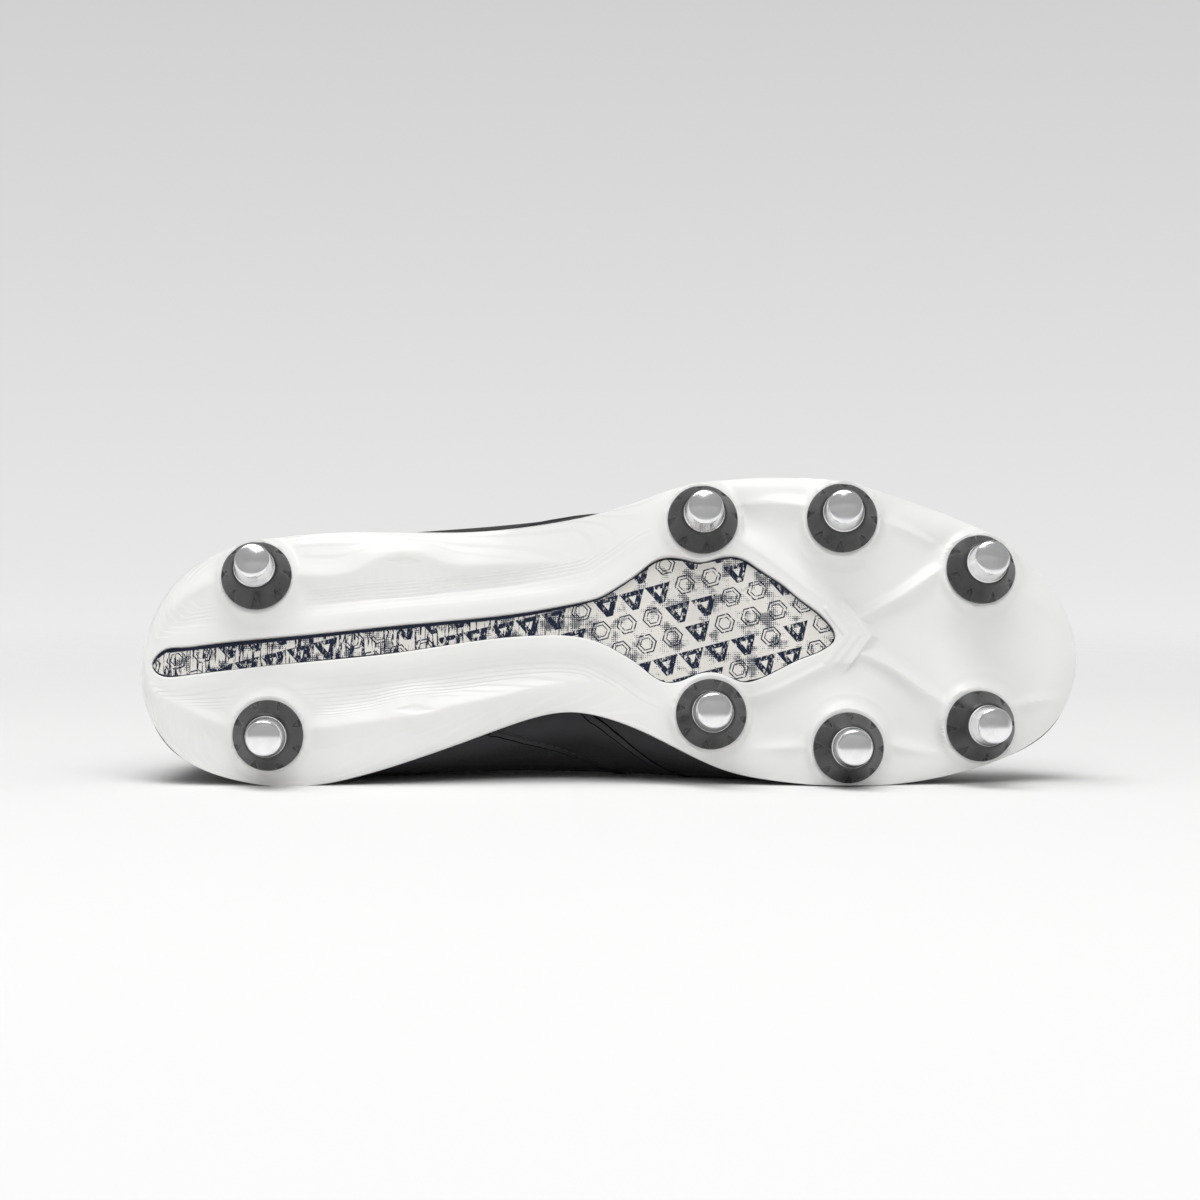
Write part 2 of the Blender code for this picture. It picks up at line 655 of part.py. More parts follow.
def lace_run(name, start, end, lift):
    """A flat lace over the lacing gap between two eyelets."""
    start, end = np.array(start), np.array(end)
    way = (end - start) / np.linalg.norm(end - start)
    across = np.array([-way[1], way[0]]) * LACE_HALF_WIDTH
    rings = []
    for share in np.linspace(0, 1, LACE_POINTS):
        left, right = (start + (end - start) * share + side * across for side in (1, -1))
        rings.append([surface_point(*left, lift), surface_point(*right, lift),
                      surface_point(*right, lift + LACE_WALL), surface_point(*left, lift + LACE_WALL)])
    return loft_mesh(name, rings)


def build_laces(parts, cutters, boot):
    """One lace: a bar at the front eyelets joined to a crossing between each two rows."""
    pairs = eyelet_places()
    bar = lace_run("lace", *pairs[-1], BAR_LIFT)
    obj = add_object("lace", bar, "black_lace", parts, boot)
    runs = bpy.data.collections.new("lace_runs")
    cutters.children.link(runs)
    for i, (upper_pair, lower_pair) in enumerate(zip(pairs, pairs[1:]), 1):
        for side, name, lift in ((0, f"run_{i}_under", LACE_LIFT), (1, f"run_{i}_over", OVER_LIFT)):
            run = lace_run(name, upper_pair[side], lower_pair[1 - side], lift)
            helper(add_object(name, run, None, runs, boot))
    cut_with(obj, runs, "UNION")


def build_insole(parts, boot):
    """A flat sock on the plate, clear of the upper's wall."""
    shares = (1,) + TOP_SHARES + (0,)
    columns = []
    for ray in RAYS:
        edge = ray.seat()[0] - UPPER_WALL - 3 * GAP
        under = [plate_point(ray, edge * share, PLATE + GAP) for share in shares]
        over = [plate_point(ray, edge * share, PLATE + GAP + INSOLE) for share in shares]
        columns.append((under, over))
    shut = [True] * len(RAYS)
    skins = [sewn_sheet([under for under, _ in columns], shut),
             sewn_sheet([under[:1] + over for under, over in columns], shut)]
    return add_object("insole", joined_mesh("insole", skins), "black_lining", parts, boot)


def profile_mesh(name, profile, finish):
    """The outline of a turned body, (radius, height) rows, drawn from its top down its outer side."""
    mesh = bpy.data.meshes.new(name)
    verts = [(radius, 0, height) for radius, height in profile[::-1]]
    mesh.from_pydata(verts, [(i, i + 1) for i in range(len(verts) - 1)], [])
    mesh.materials.append(material(finish))
    return mesh


def turn_about_z(obj):
    turn = obj.modifiers.new("turn", "SCREW")
    turn.axis = "Z"
    turn.angle = 2 * math.pi
    turn.steps = turn.render_steps = STUD_FACETS
    turn.use_merge_vertices = True
    turn.merge_threshold = 1e-5
    turn.use_smooth_shade = True


def build_studs(parts, boot):
    skirt = profile_mesh("stud_skirt", STUD_SKIRT, "grey_nylon")
    tip = profile_mesh("stud_tip", STUD_TIP, "bare_aluminium")
    for name, stud in STUDS.items():
        seat, way = stud_frame(stud)
        for kind, mesh in (("stud_skirt_", skirt), ("stud_tip_", tip)):
            obj = add_object(kind + name, mesh, None, parts, boot)
            obj.location = seat + way * GAP
            obj.rotation_euler = Vector((0, 0, 1)).rotation_difference(way).to_euler()
            turn_about_z(obj)


def lay_down(parts, boot):
    """Rolls the boot onto its inner side and sets the middle of its footprint at the origin."""
    boot.rotation_euler = (-(math.pi / 2 + ROLL), 0, 0)
    bpy.context.view_layer.update()
    graph = bpy.context.evaluated_depsgraph_get()
    corners = []
    for obj in parts.objects:
        if obj.type == "MESH":
            evaluated = obj.evaluated_get(graph)
            corners += [evaluated.matrix_world @ vert.co for vert in evaluated.data.vertices]
    corners = np.array(corners)
    low, high = corners.min(axis=0), corners.max(axis=0)
    boot.location = (-(low[0] + high[0]) / 2, -(low[1] + high[1]) / 2, -low[2])


def main():
    clear_scene()
    scene = bpy.context.scene
    parts = bpy.data.collections.new("rugby_boot")
    cutters = bpy.data.collections.new("cutters")
    scene.collection.children.link(parts)
    scene.collection.children.link(cutters)
    boot = bpy.data.objects.new("boot", None)
    parts.objects.link(boot)
    build_outsole(parts, cutters, boot)
    build_window(parts, boot)
    build_upper(parts, cutters, boot)
    build_insole(parts, boot)
    build_tongue(parts, boot)
    build_laces(parts, cutters, boot)
    build_studs(parts, boot)
    lay_down(parts, boot)


main()
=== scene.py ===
import math

import bmesh
import bpy
import numpy as np
from mathutils import Matrix, Vector


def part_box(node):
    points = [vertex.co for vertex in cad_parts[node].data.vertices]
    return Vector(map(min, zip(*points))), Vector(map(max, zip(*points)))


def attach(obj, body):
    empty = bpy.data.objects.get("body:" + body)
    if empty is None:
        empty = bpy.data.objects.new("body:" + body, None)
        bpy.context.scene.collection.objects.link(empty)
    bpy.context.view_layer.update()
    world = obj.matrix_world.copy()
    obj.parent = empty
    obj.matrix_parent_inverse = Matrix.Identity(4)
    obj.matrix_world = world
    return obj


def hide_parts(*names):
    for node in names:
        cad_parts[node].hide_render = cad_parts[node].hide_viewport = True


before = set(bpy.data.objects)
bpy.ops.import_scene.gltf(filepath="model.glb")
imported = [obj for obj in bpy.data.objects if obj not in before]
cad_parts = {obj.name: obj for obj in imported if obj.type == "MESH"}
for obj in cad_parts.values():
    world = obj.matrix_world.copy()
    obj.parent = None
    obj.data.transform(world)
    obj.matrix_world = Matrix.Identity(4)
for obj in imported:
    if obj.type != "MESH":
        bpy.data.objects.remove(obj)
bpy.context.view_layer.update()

# The boot is worked out upright in millimetres, in the same frame as the part's source:
# x from heel to toe, y towards the inner side of the foot, z up from the plate's underside at the ball.
MM = 0.001
LENGTH = 294
GAP = 0.3
PLATE = 3.6
LIP_WALL = 1.6
LIP_LEAN = math.tan(math.radians(10))
LIP_CLEAR = 0.45
UPPER_WALL = 2.0
COLLAR_WALL = 4.0
COLLAR_PAD_DEPTH = 22
COLLAR_PAD_END = 86
COLLAR_PAD_FADE = 24
INSOLE = 3.0
FLOOR_FLAT = 0.6
AXIS_HEEL = 38
AXIS_TOE = 238

# Upper's sheet in the part's source, from which the lie follows:
# steps along a side, round the toe and round the heel; rows below the widest line, rows from it up
SOURCE_FAN = (20, 14, 12)
SOURCE_ARCH_ROWS = 3
SOURCE_CROWN_ROWS = 10

# Edge of the plate seen from below: x, y
PLATE_OUTLINE = np.array([
    (0, 10.5), (3.2, 27), (12, 38.8), (31, 47), (48, 48.9), (68, 45.6), (87, 39.6), (106, 32.6),
    (120, 27.5), (133, 24.9), (146, 27), (163, 34.3), (181, 43), (200, 47.2), (221, 48.8), (240, 47.3),
    (257, 43.8), (275, 37), (287, 27.5), (294, 7), (290.4, -8.2), (275, -25.4), (257, -35.8), (238, -42.2),
    (219, -47.2), (200, -49), (182, -48.2), (163, -44), (144, -38), (125, -34.2), (100, -31.9),
    (70, -31.7), (48, -30.3), (28, -26), (12, -17), (2.8, -2)], float)

# Widest line of the last seen from above: x, y
GIRTH_OUTLINE = np.array([
    (0.2, 10), (2.1, 26.8), (11.6, 38.6), (31, 43.3), (50, 44.2), (75, 43), (105, 40.8), (133, 40.2),
    (160, 41.8), (185, 44.2), (210, 45.6), (230, 45), (255, 42.2), (276.5, 36), (289.3, 25.5), (293.4, 7),
    (288.6, -8), (273, -23.6), (250, -36.6), (225, -43.5), (200, -46.4), (180, -46), (160, -44), (135, -41),
    (105, -37), (75, -33), (48, -28.6), (28, -25), (12, -16), (3.6, -3)], float)

# Sections across the boot: x, axis y, plate rise, lip height, widest line's height, crown height, roundness
SECTIONS = np.array([
    (0, 10.5, 2.0, 5.5, 17, 165, 1.10),
    (40, 10.0, 0.0, 5.2, 17, 163, 1.10),
    (80, 7.4, 1.2, 3.5, 25, 140, 1.15),
    (105, 5.8, 4.5, 1.8, 35, 109, 1.40),
    (133, 4.6, 6.5, 1.2, 42, 89, 1.70),
    (160, 3.8, 4.5, 2.0, 35, 75, 1.85),
    (185, 3.2, 1.2, 3.4, 24, 64, 2.00),
    (210, 3.0, 0.0, 4.0, 17, 55, 2.15),
    (240, 4.0, 1.7, 4.4, 16.5, 46.5, 2.25),
    (270, 5.5, 6.0, 4.8, 19.5, 40, 2.35),
    (294, 7.0, 11.0, 5.0, 23.5, 35, 2.40)])

# Height of the collar edge: x, z
COLLAR = np.array([(0, 79), (14, 77), (34, 69), (58, 63), (82, 68.5), (100, 80), (120, 98)], float)

# Half width of the lacing gap: x, half gap
THROAT = np.array([(96, 22.5), (112, 20), (150, 14), (176, 10), (186, 7.5)], float)
THROAT_FRONT = 188

# Upper's sheet: steps along a side, steps round toe and heel, rows below its widest line, rows from it up,
# and how the upper rows crowd towards the top edge
UPPER_STEPS = 90
UPPER_TURNS = (36, 30)
ARCH_ROWS = 8
CROWN_ROWS = 30
CROWN_CROWD = 1.25

# Creases across the vamp where the boot flexes:
# x on the crown, sweep back for each millimetre aside, half width, depth
CREASES = [(199, 0.10, 3.4, 0.6), (208, 0.16, 4.2, 1.0), (218, 0.13, 3.8, 0.85), (229, 0.2, 4.5, 0.5)]
CREASE_HEIGHTS = (20, 34)
CREASE_STARTS = (THROAT_FRONT - 4, THROAT_FRONT + 8)

# Ridges beside a crease: share of its depth, place and width in half widths of the crease
RIDGE_SHARE = 0.45
RIDGE_PLACE = 1.6
RIDGE_WIDTH = 0.9

# Tongue: x on the crown, half width, sweep back of its sides; its wall, the wall's share at a sewn edge, the
# share of the half width in which it swells, a head start for the swell at the top, its rows and columns,
# and how the rows crowd towards the top
TONGUE = np.array([
    (97, 11, 1.6), (98.5, 18, 4), (102, 23.5, 6.5), (108, 26.5, 7), (118, 27.5, 5), (132, 27, 3),
    (150, 25, 0), (175, 22.5, 0), (198, 19, 0), (202, 15, 0)], float)
TONGUE_WALL = 4.5
TONGUE_SEWN = 0.35
TONGUE_SWELL = 0.3
TONGUE_TOP = 0.12
TONGUE_ROWS = 44
TONGUE_COLUMNS = 29
TONGUE_CROWD = 1.6

# Lacing; the lace's cross-section is across and up, in shares of its half width and half thickness
EYELET_FIRST = 113
EYELET_LAST = 177
EYELET_ROWS = 6
EYELET_INSET = 8
EYELET_RADIUS = 1.9
LACE_HALF_WIDTH = 2.8
LACE_WALL = 1.4
LACE_LIFT = 0.6
LACE_PINCH = (1.0, 5.0)
LACE_DIVE = 3.4
LACE_DIVE_WITHIN = 3.2
LACE_CROSSING = 5.0
LACE_CROSSING_GAP = 0.2
LACE_STEPS = 46
LACE_SECTION = [(1, 0), (0.93, 0.7), (0.6, 1), (0, 1.08), (-0.6, 1), (-0.93, 0.7), (-1, 0), (-0.93, -0.7),
                (-0.6, -1), (0, -1), (0.6, -1), (0.93, -0.7)]

# Sock's top from its edge to its middle: share of the way out, share of its thickness; and steps of its rays
SOCK_TOP = [(1, 0.55), (0.996, 0.85), (0.988, 0.96), (0.975, 1)]
SOCK_TOP += [(share, 1) for share in np.linspace(0.95, 0, 16)]
SOCK_FAN = (80, 40, 36)

# Seams up each side of the upper, from the plate towards the lacing: height, x
STRAP_SEAM = np.array([
    (11.6, 135.2), (12.1, 140.2), (14, 148.5), (17.1, 154.6), (28, 167), (46, 178), (58, 182.5), (64, 183)])
QUARTER_SEAM = np.array([
    (10.7, 103), (11.7, 110.5), (14.6, 117), (18.1, 123.5), (21.7, 130.5), (36, 146), (55, 157), (72, 161)])
SEAM_STEPS = 90
# SEAM_FOOT is taken off the seams' heights for their chart, which puts the leather's painted light beside the
# plate on the seam bands too.
SEAM_FOOT = 8
LAST_MIDDLE = 35

# Cross-sections laid along a seam: across towards the toe, height over the leather
STRAP = [(-1.05, -0.4), (-0.95, 0.14), (-0.7, 0.26), (0, 0.3), (0.7, 0.26), (0.95, 0.14), (1.05, -0.4)]
BEAD = [(-0.6, -0.4), (-0.5, 0.14), (-0.2, 0.4), (0.25, 0.36), (0.9, 0.06), (1.1, -0.4)]
# The shade profiles are thin strips just over the leather, showing beside both edges of the strap and on the
# bead's heel side, coloured as painted shade.
STRAP_SHADE = [(-1.45, -0.4), (-1.35, 0.05), (1.35, 0.05), (1.45, -0.4)]
BEAD_SHADE = [(-1.05, -0.4), (-0.95, 0.05), (-0.3, 0.05), (-0.2, -0.4)]

# Stitches: pitch; half length, half width, half height; rings of one stitch: share along, share of its width;
# rows below the top edge, and the row beside the quarter's seam
STITCH_PITCH = 2.8
STITCH = (1.05, 0.3, 0.24)
STITCH_RINGS = [(-1, 0.25), (-0.72, 0.85), (0, 1), (0.72, 0.85), (1, 0.25)]
STITCH_SIDES = 6
EDGE_ROWS = (2.6, 15.5)
QUARTER_ROW = 2.2

# Clear window in the plate: x, outer edge y, inner edge y
WINDOW = np.array([
    (3.6, 10.2, 11.0), (5, 7.6, 13.3), (8, 5.6, 14.6), (13, 5.2, 14.4), (19, 4.6, 13.7), (50, 1.6, 10.4),
    (81, -1.8, 7.0), (112, -5.3, 2.0), (125, -7.3, 1.0), (137, -9.6, 1.5), (144, -11.5, 3.5), (150, -15, 6.7),
    (156, -19, 10.7), (161, -22.7, 14.8), (164.5, -23.6, 16.3), (170, -23, 15.6), (175, -21.9, 13.6),
    (180, -22.9, 13.4), (184.5, -23.6, 15), (188, -22.9, 16.4), (194, -19, 15.2), (200, -15, 12.3),
    (206.5, -9.6, 9.2), (211.5, -5.9, 7.3), (215, -2.4, 5.3), (217, 1.0, 3.0)], float)
WINDOW_RECESS = 1.2
WINDOW_HEEL = 10
WINDOW_TOE = 206
WINDOW_ROWS = 300
WINDOW_COLUMNS = 25

# Window's print: x over which its narrow part ends; width of its dark border along the outer edge before and
# after that, and along the inner edge. The wider band along the outer edge is print and painted shadow
# of the opening's wall.
NARROW_END = (118, 150)
OUTER_BORDER_AND_SHADOW = (0.85, 0.3)
INNER_BORDER = 0.1

# Print in the window: turn in degrees, height of a row, slide of each row, width of a column
PRINT_TURN = 14
PRINT_ROW = 7.6
PRINT_SLIDE = 3.9
PRINT_COLUMN = 8.4

# Raised frame round the window, and where it fades: depth of the fade, over which distances
RIM_FILLET = 0.6
FRAME_FLAT = 2.4
FRAME_FALL = 6.5
FRAME_HEIGHT = 1.6
FRAME_FOOT = 0.9
FRAME_AT_EDGE = (2.4, 1, 9)
FRAME_AT_HEEL = (0.6, 8, 30)

# Field of the plate: depth of its hollow, how much deeper it is in the forefoot, over which distances from
# the edge it deepens, and over which x the forefoot begins and ends
HOLLOW = 0.55
HOLLOW_FOREFOOT = 0.35
HOLLOW_FROM_EDGE = (7, 15)
FOREFOOT_FROM = (148, 170)
FOREFOOT_TO = (282, 292)

# Rows of the plate's underside and its turned-up edge; steps of its rays along the sides, round toe and heel;
# width of the turned-up edge, at most a share of the plate on a ray; crowding of the rows towards the window;
# rounding of the lip's inner edge and taper of its outer one
UNDER_ROWS = 93
TURN_ROWS = 12
PLATE_FAN = (206, 200, 100)
EDGE_TURN = 9.0
EDGE_TURN_SHARE = 0.62
UNDER_CROWD = 1.3
LIP_ROUND = 0.2
LIP_TAPER = 0.25

# Outer wall of the plate's lip: share of its height, share of its lean
LIP_ROWS = [(0.35, 0.1), (0.7, 0.45), (0.92, 0.85)]

# Studs: x, y, lean towards the toe in degrees, splay outwards in degrees
STUDS = {
    "heel_outer": (36.4, -16.5, 0, 9.5), "heel_inner": (40.6, 33.3, 0, 9),
    "rear_outer": (175.8, -34.6, 2, 6), "rear_inner": (178.2, 26.6, 2, 1.5),
    "middle_outer": (219.4, -34.8, 0, 4), "middle_inner": (220.7, 37.2, 4, 5.5),
    "front_outer": (262.9, -19.2, 8, 5.5), "front_inner": (262.1, 30.0, 11, 5.5)}
STUD_SPIN = 0.37
BOSS_HEIGHT = 3.0
BOSS_SEAT = 12.2
BOSS_SPREAD = 1.3
BOSS_SPREAD_INWARDS = 1.1
BOSS_FALL = 3.6
BOSS_RUNOUT = 0.25
BOSS_BLEND = 1.2

# Skirt and tip of a stud, turned: radius, height; and the skirt's corners in the part's source
SKIRT = np.array([
    (0, 0), (10.7, 0), (10.95, 0.15), (11, 0.45), (11, 0.9), (10.9, 1.25), (10.2, 2.5), (9.3, 4.1),
    (8.4, 5.7), (7.6, 7.2), (7.15, 8.0), (6.9, 8.3), (6.6, 8.4), (0, 8.4)])
TIP = np.array([
    (0, 8.7), (6.2, 8.7), (6.4, 8.9), (6.4, 9.3), (6.28, 9.5), (5.93, 12.4), (5.58, 15.4), (5.5, 16),
    (5.36, 16.4), (5.12, 16.68), (4.8, 16.87), (4.4, 17.0), (3.7, 17.18), (2.8, 17.36), (2, 17.48),
    (1, 17.57), (0, 17.6)])
SOURCE_SKIRT = [(11, 0), (11, 1.2), (7, 8.4)]
SOURCE_SIDES = 16
SKIRT_SIDES = 144
TIP_SIDES = 72
NOTCHES = 8
NOTCH_DEPTH = 0.9
NOTCH_HALF_ANGLE = 0.15
NOTCH_FROM = 0.5
NOTCH_TO = 6.0
NOTCH_RADIUS = 7.5

# Ribs under the plate, each from heel to toe:
# x, y of the crest, reach of the flank towards the inner side, reach towards the outer side, height
RIBS = {
    "toe_outer": [
        (222, -3, 3, 2.6, 1.6), (231, -7.2, 3.2, 2.6, 1.9), (239.5, -11.8, 4.6, 2.8, 2.2),
        (248, -17.6, 7.6, 3.2, 2.6), (256, -22, 9, 4, 2.7)],
    "toe_inner": [
        (223, 6.6, 3, 2.6, 1.5), (234.5, 11.6, 3.4, 2.6, 1.8), (243.5, 18, 4.4, 2.8, 2.2),
        (250, 22.6, 6, 3.6, 2.6), (257, 27, 8, 5, 2.7)],
    "rim_outer": [
        (187, -28, 2.6, 5, 1.2), (194, -24.2, 3.2, 6.5, 1.7), (202, -18, 3.2, 6.5, 1.7),
        (210, -12, 3.2, 6, 1.7), (219, -6, 3, 4, 1.6)],
    "rim_inner": [
        (189, 21.5, 4, 2.6, 1.2), (197, 19.3, 5, 3.2, 1.9), (206, 15.2, 5, 3.2, 1.9),
        (214, 11.3, 5, 3.2, 1.9), (221, 8, 4, 3, 1.7)],
    "spine_outer": [
        (3, -2.5, 6, 3, 0.3), (14, -10.3, 12, 5, 1.2), (25, -15.6, 14, 7, 2.2), (36.4, -16.5, 12, 9, 2.7),
        (50, -16.8, 7.3, 9, 2.5), (61, -17, 6.4, 9, 2.3), (68.6, -19.2, 8, 9, 2.5), (74, -22.2, 11.5, 8, 2.9),
        (79.6, -24.1, 14, 7, 3.1), (84, -24.5, 14.2, 6.5, 3.1), (89, -23.6, 12, 7, 2.9),
        (94, -21.6, 7.5, 8, 2.5), (106, -20.9, 5, 8, 2.0), (120, -21.8, 4, 8, 1.2), (138, -23, 3, 7, 0.2)],
    "spine_inner": [
        (4, 19.5, 3, 3, 0.3), (14, 24.4, 6, 6, 1.2), (25, 29.5, 7, 8, 2.2), (40.6, 32, 8, 9.5, 2.7),
        (50, 31.2, 9, 8.8, 2.5), (60, 31, 9, 7.4, 2.3), (67, 29.8, 9, 6.8, 2.4), (76, 28.6, 8, 8.4, 2.8),
        (82.7, 27.2, 7, 10.6, 3.1), (88, 26.8, 6.5, 11.2, 3.1), (92.5, 25.6, 7, 9, 2.8),
        (98, 23.8, 8, 6.6, 2.4), (106, 22, 8, 5.2, 2.0), (120, 18.6, 8, 4, 1.2), (138, 15.6, 7, 3, 0.2)],
    "wing_middle_outer": [
        (188, -40, 1, 1, 0.1), (197, -40.2, 4, 2.6, 1.2), (209, -38.8, 6, 3.6, 2.1),
        (226, -36, 6, 3.6, 2.1), (238, -32.4, 3.6, 2.6, 1.2), (248, -28, 1, 1, 0.1)],
    "wing_middle_inner": [
        (192, 37.6, 1, 1, 0.1), (201, 37.2, 2.6, 4, 1.2), (212, 36, 3.6, 6, 2.1),
        (230, 35, 3.6, 6, 2.1), (239, 37.2, 2.6, 3.6, 1.2), (249, 38.4, 1, 1, 0.1)],
    "wing_front_outer": [(268, -19, 8, 4, 2.4), (278, -13.4, 4, 3, 1.6), (289, -3.2, 1.5, 1.5, 0.1)],
    "wing_front_inner": [(268, 25.6, 5, 5, 2.8), (278, 22, 3.6, 2.4, 2.1), (288, 20.6, 1.2, 1.2, 0.2)]}
RIB_CHORDS = 40
RIB_FOOT = 0.8
RIB_BLEND = 1.0
CREST_ROUND = 0.6

# Flat facets cut on the spines' swellings: x, y, half length, half width; their depth, and where in half
# sizes the cut begins and is full
FACETS = [(82.6, -21.6, 4.2, 1.2), (86, 25, 5, 1.4)]
FACET_DEPTH = 0.35
FACET_EDGE = (1.4, 0.7)

# Chevron in front of the window: its tip's y, slope of the arms, reach of the arms, its two ends, the fall
# beyond its reach and its ends, and its steps: x of the step's tip, height
CHEVRON_Y = 1.9
CHEVRON_SLOPE = 0.76
CHEVRON_REACH = 8.5
CHEVRON_ENDS = (214, 229.8)
CHEVRON_FALLS = (0.6, 0.8)
CHEVRON_BASE = 1.6
CHEVRON_STEPS = [(219.6, 2.3), (221.8, 1.9), (223.2, 2.2), (225.0, 1.8), (226.6, 2.0), (229.2, 0.4)]
CHEVRON_STEP_HALF = 0.5
CHEVRON_BLEND = 0.35

# Fine terraced lines of the rear half: lines for each millimetre from the window and of height, their depth,
# share of a line that climbs, and where they fade: from the window, along x, from the studs, over the ribs
TERRACE_BY_DISTANCE = 0.72
TERRACE_BY_HEIGHT = 0.9
TERRACE_DEPTH = 0.09
TERRACE_CLIMB = 0.7
TERRACE_WINDOW = (1.8, 4.5)
TERRACE_END = (156, 174)
TERRACE_STUDS = (14, 19)
TERRACE_HEIGHTS = (0.5, 1.3)

# Angles in degrees over which shading breaks, on built pieces and on baked ones
SHARP = 35
SHARP_BAKED = 40


def spline(knots, values):
    """A natural cubic through the rows of a table, as a function of its first column."""
    knots = np.asarray(knots, float)
    values = np.asarray(values, float)
    step = np.diff(knots)
    system = np.eye(len(knots))
    bend = np.zeros_like(values)
    for i in range(1, len(knots) - 1):
        system[i, i - 1:i + 2] = step[i - 1], 2 * (step[i - 1] + step[i]), step[i]
        bend[i] = 6 * ((values[i + 1] - values[i]) / step[i] - (values[i] - values[i - 1]) / step[i - 1])
    bend = np.linalg.solve(system, bend)

    def at(x):
        x = np.clip(x, knots[0], knots[-1])
        i = np.clip(np.searchsorted(knots, x) - 1, 0, len(step) - 1)
        before, after, span = x - knots[i], knots[i + 1] - x, step[i]
        if values.ndim > 1:
            before, after, span = before[..., None], after[..., None], span[..., None]
        line = (values[i] * after + values[i + 1] * before) / span
        sag = bend[i] * (after ** 3 / span - after * span)
        sag += bend[i + 1] * (before ** 3 / span - before * span)
        return line + sag / 6

    return at


def run_lengths(points):
    """Way along a line of points to each of them."""
    return np.concatenate([[0], np.cumsum(np.linalg.norm(np.diff(points, axis=0), axis=1))])


def closed_outline(points, per_span=10):
    """A smooth closed line through the points of an outline, as many short chords."""
    wrapped = np.vstack([points[-3:], points, points[:4]])
    chord = run_lengths(wrapped)
    steps = np.linspace(chord[3], chord[3 + len(points)], per_span * len(points), endpoint=False)
    return spline(chord, wrapped)(steps)


def open_line(points, count):
    """A smooth open line through rows of any width, as count rows."""
    points = np.asarray(points, float)
    chord = run_lengths(points[:, :2])
    return spline(chord, points)(np.linspace(0, chord[-1], count))


def ease(low, high, value):
    """0 below low, 1 above high, smooth between."""
    share = np.clip((value - low) / (high - low), 0, 1)
    return share * share * (3 - 2 * share)


def smooth_max(a, b, blend):
    return np.maximum(a, b) + np.maximum(blend - np.abs(a - b), 0) ** 2 / (4 * blend)


def unit(vectors):
    return vectors / np.linalg.norm(vectors, axis=-1, keepdims=True)


axis_y, rise, lip, girth_height, crown, roundness = (
    spline(SECTIONS[:, 0], SECTIONS[:, column]) for column in range(1, 7))
collar_height = spline(COLLAR[:, 0], COLLAR[:, 1])
throat_gap = spline(THROAT[:, 0], THROAT[:, 1])
plate_edge = closed_outline(PLATE_OUTLINE)
girth_edge = closed_outline(GIRTH_OUTLINE)
window_edge = closed_outline(np.vstack([WINDOW[:, [0, 1]], WINDOW[::-1, [0, 2]]]), 6)


def window_middle(x):
    return np.interp(x, WINDOW[:, 0], 0.5 * (WINDOW[:, 1] + WINDOW[:, 2]))


class Fan:
    """Rays in plan from a line along the boot: along its inner side, round the toe, back, round the heel."""

    def __init__(self, line, heel, toe, side_steps, toe_steps, heel_steps):
        quarter = math.pi / 2
        along = np.linspace(heel, toe, side_steps + 1)
        turns = [(x, quarter) for x in along]
        turns += [(toe, angle) for angle in np.linspace(quarter, -quarter, toe_steps + 1)[1:-1]]
        turns += [(x, -quarter) for x in along[::-1]]
        turns += [(heel, angle) for angle in np.linspace(-quarter, -3 * quarter, heel_steps + 1)[1:-1]]
        x, angle = np.array(turns).T
        self.start = np.stack([x, line(x)], axis=1)
        self.way = np.stack([np.cos(angle), np.sin(angle)], axis=1)

    def reach(self, outline):
        """Distance from each ray's start to an outline."""
        distances = []
        for start, way in zip(self.start, self.way):
            a = outline - start
            b = np.roll(outline, -1, axis=0) - start
            cross_a = way[0] * a[:, 1] - way[1] * a[:, 0]
            cross_b = way[0] * b[:, 1] - way[1] * b[:, 0]
            hit = (cross_a > 0) != (cross_b > 0)
            share = cross_a[hit] / (cross_a[hit] - cross_b[hit])
            points = a[hit] + share[:, None] * (b[hit] - a[hit])
            distances.append((points @ way).max())
        return np.array(distances)

    def at(self, distance):
        """Plan points at a distance on each ray, or at rows of distances."""
        distance = np.asarray(distance, float)
        if distance.ndim == 1:
            return self.start + self.way * distance[:, None]
        return self.start[:, None] + self.way[:, None] * distance[..., None]

    def seat(self, plate):
        """(distance of the lip's inner wall, height of its top, radius of the plate's edge) on each ray."""
        x = np.clip(self.at(plate)[:, 0], 0, LENGTH)
        rounding = 0.5 * (PLATE + lip(x))
        return plate - LIP_WALL - rounding * LIP_LEAN, rise(x) + PLATE + lip(x), rounding


def section_powers(x):
    """(power across, power upwards) of a section of the last."""
    upwards = 2 / roundness(x)
    return np.minimum(1.0, upwards), upwards


def crown_points(fan, girth, angle):
    """Outer face of the upper on each ray, from the widest line (0) to the crown (90 degrees)."""
    widest = fan.at(girth)[:, 0]
    across, upwards = section_powers(widest)
    plan = fan.at(girth[:, None] * np.cos(angle) ** across[:, None])
    low = girth_height(widest)[:, None]
    height = low + (crown(plan[..., 0]) - low) * np.sin(angle) ** upwards[:, None]
    return np.dstack([plan, height])


def top_angles(fan, girth):
    """Angle at which each ray meets the collar or the lacing gap; 90 degrees where the vamp is closed."""
    x = fan.at(girth)[:, 0]
    across, upwards = section_powers(x)
    low, high = girth_height(x), crown(x)
    share = np.clip((collar_height(x) - low) / (high - low), 0, 1)
    angle = np.arcsin(share ** (1 / upwards))
    gap = np.arccos(np.clip(throat_gap(x) / girth, 0, 1) ** (1 / across))
    angle = np.where(x > THROAT[0, 0], np.minimum(angle, gap), angle)
    return np.where(fan.start[:, 0] > THROAT_FRONT, math.pi / 2, angle)


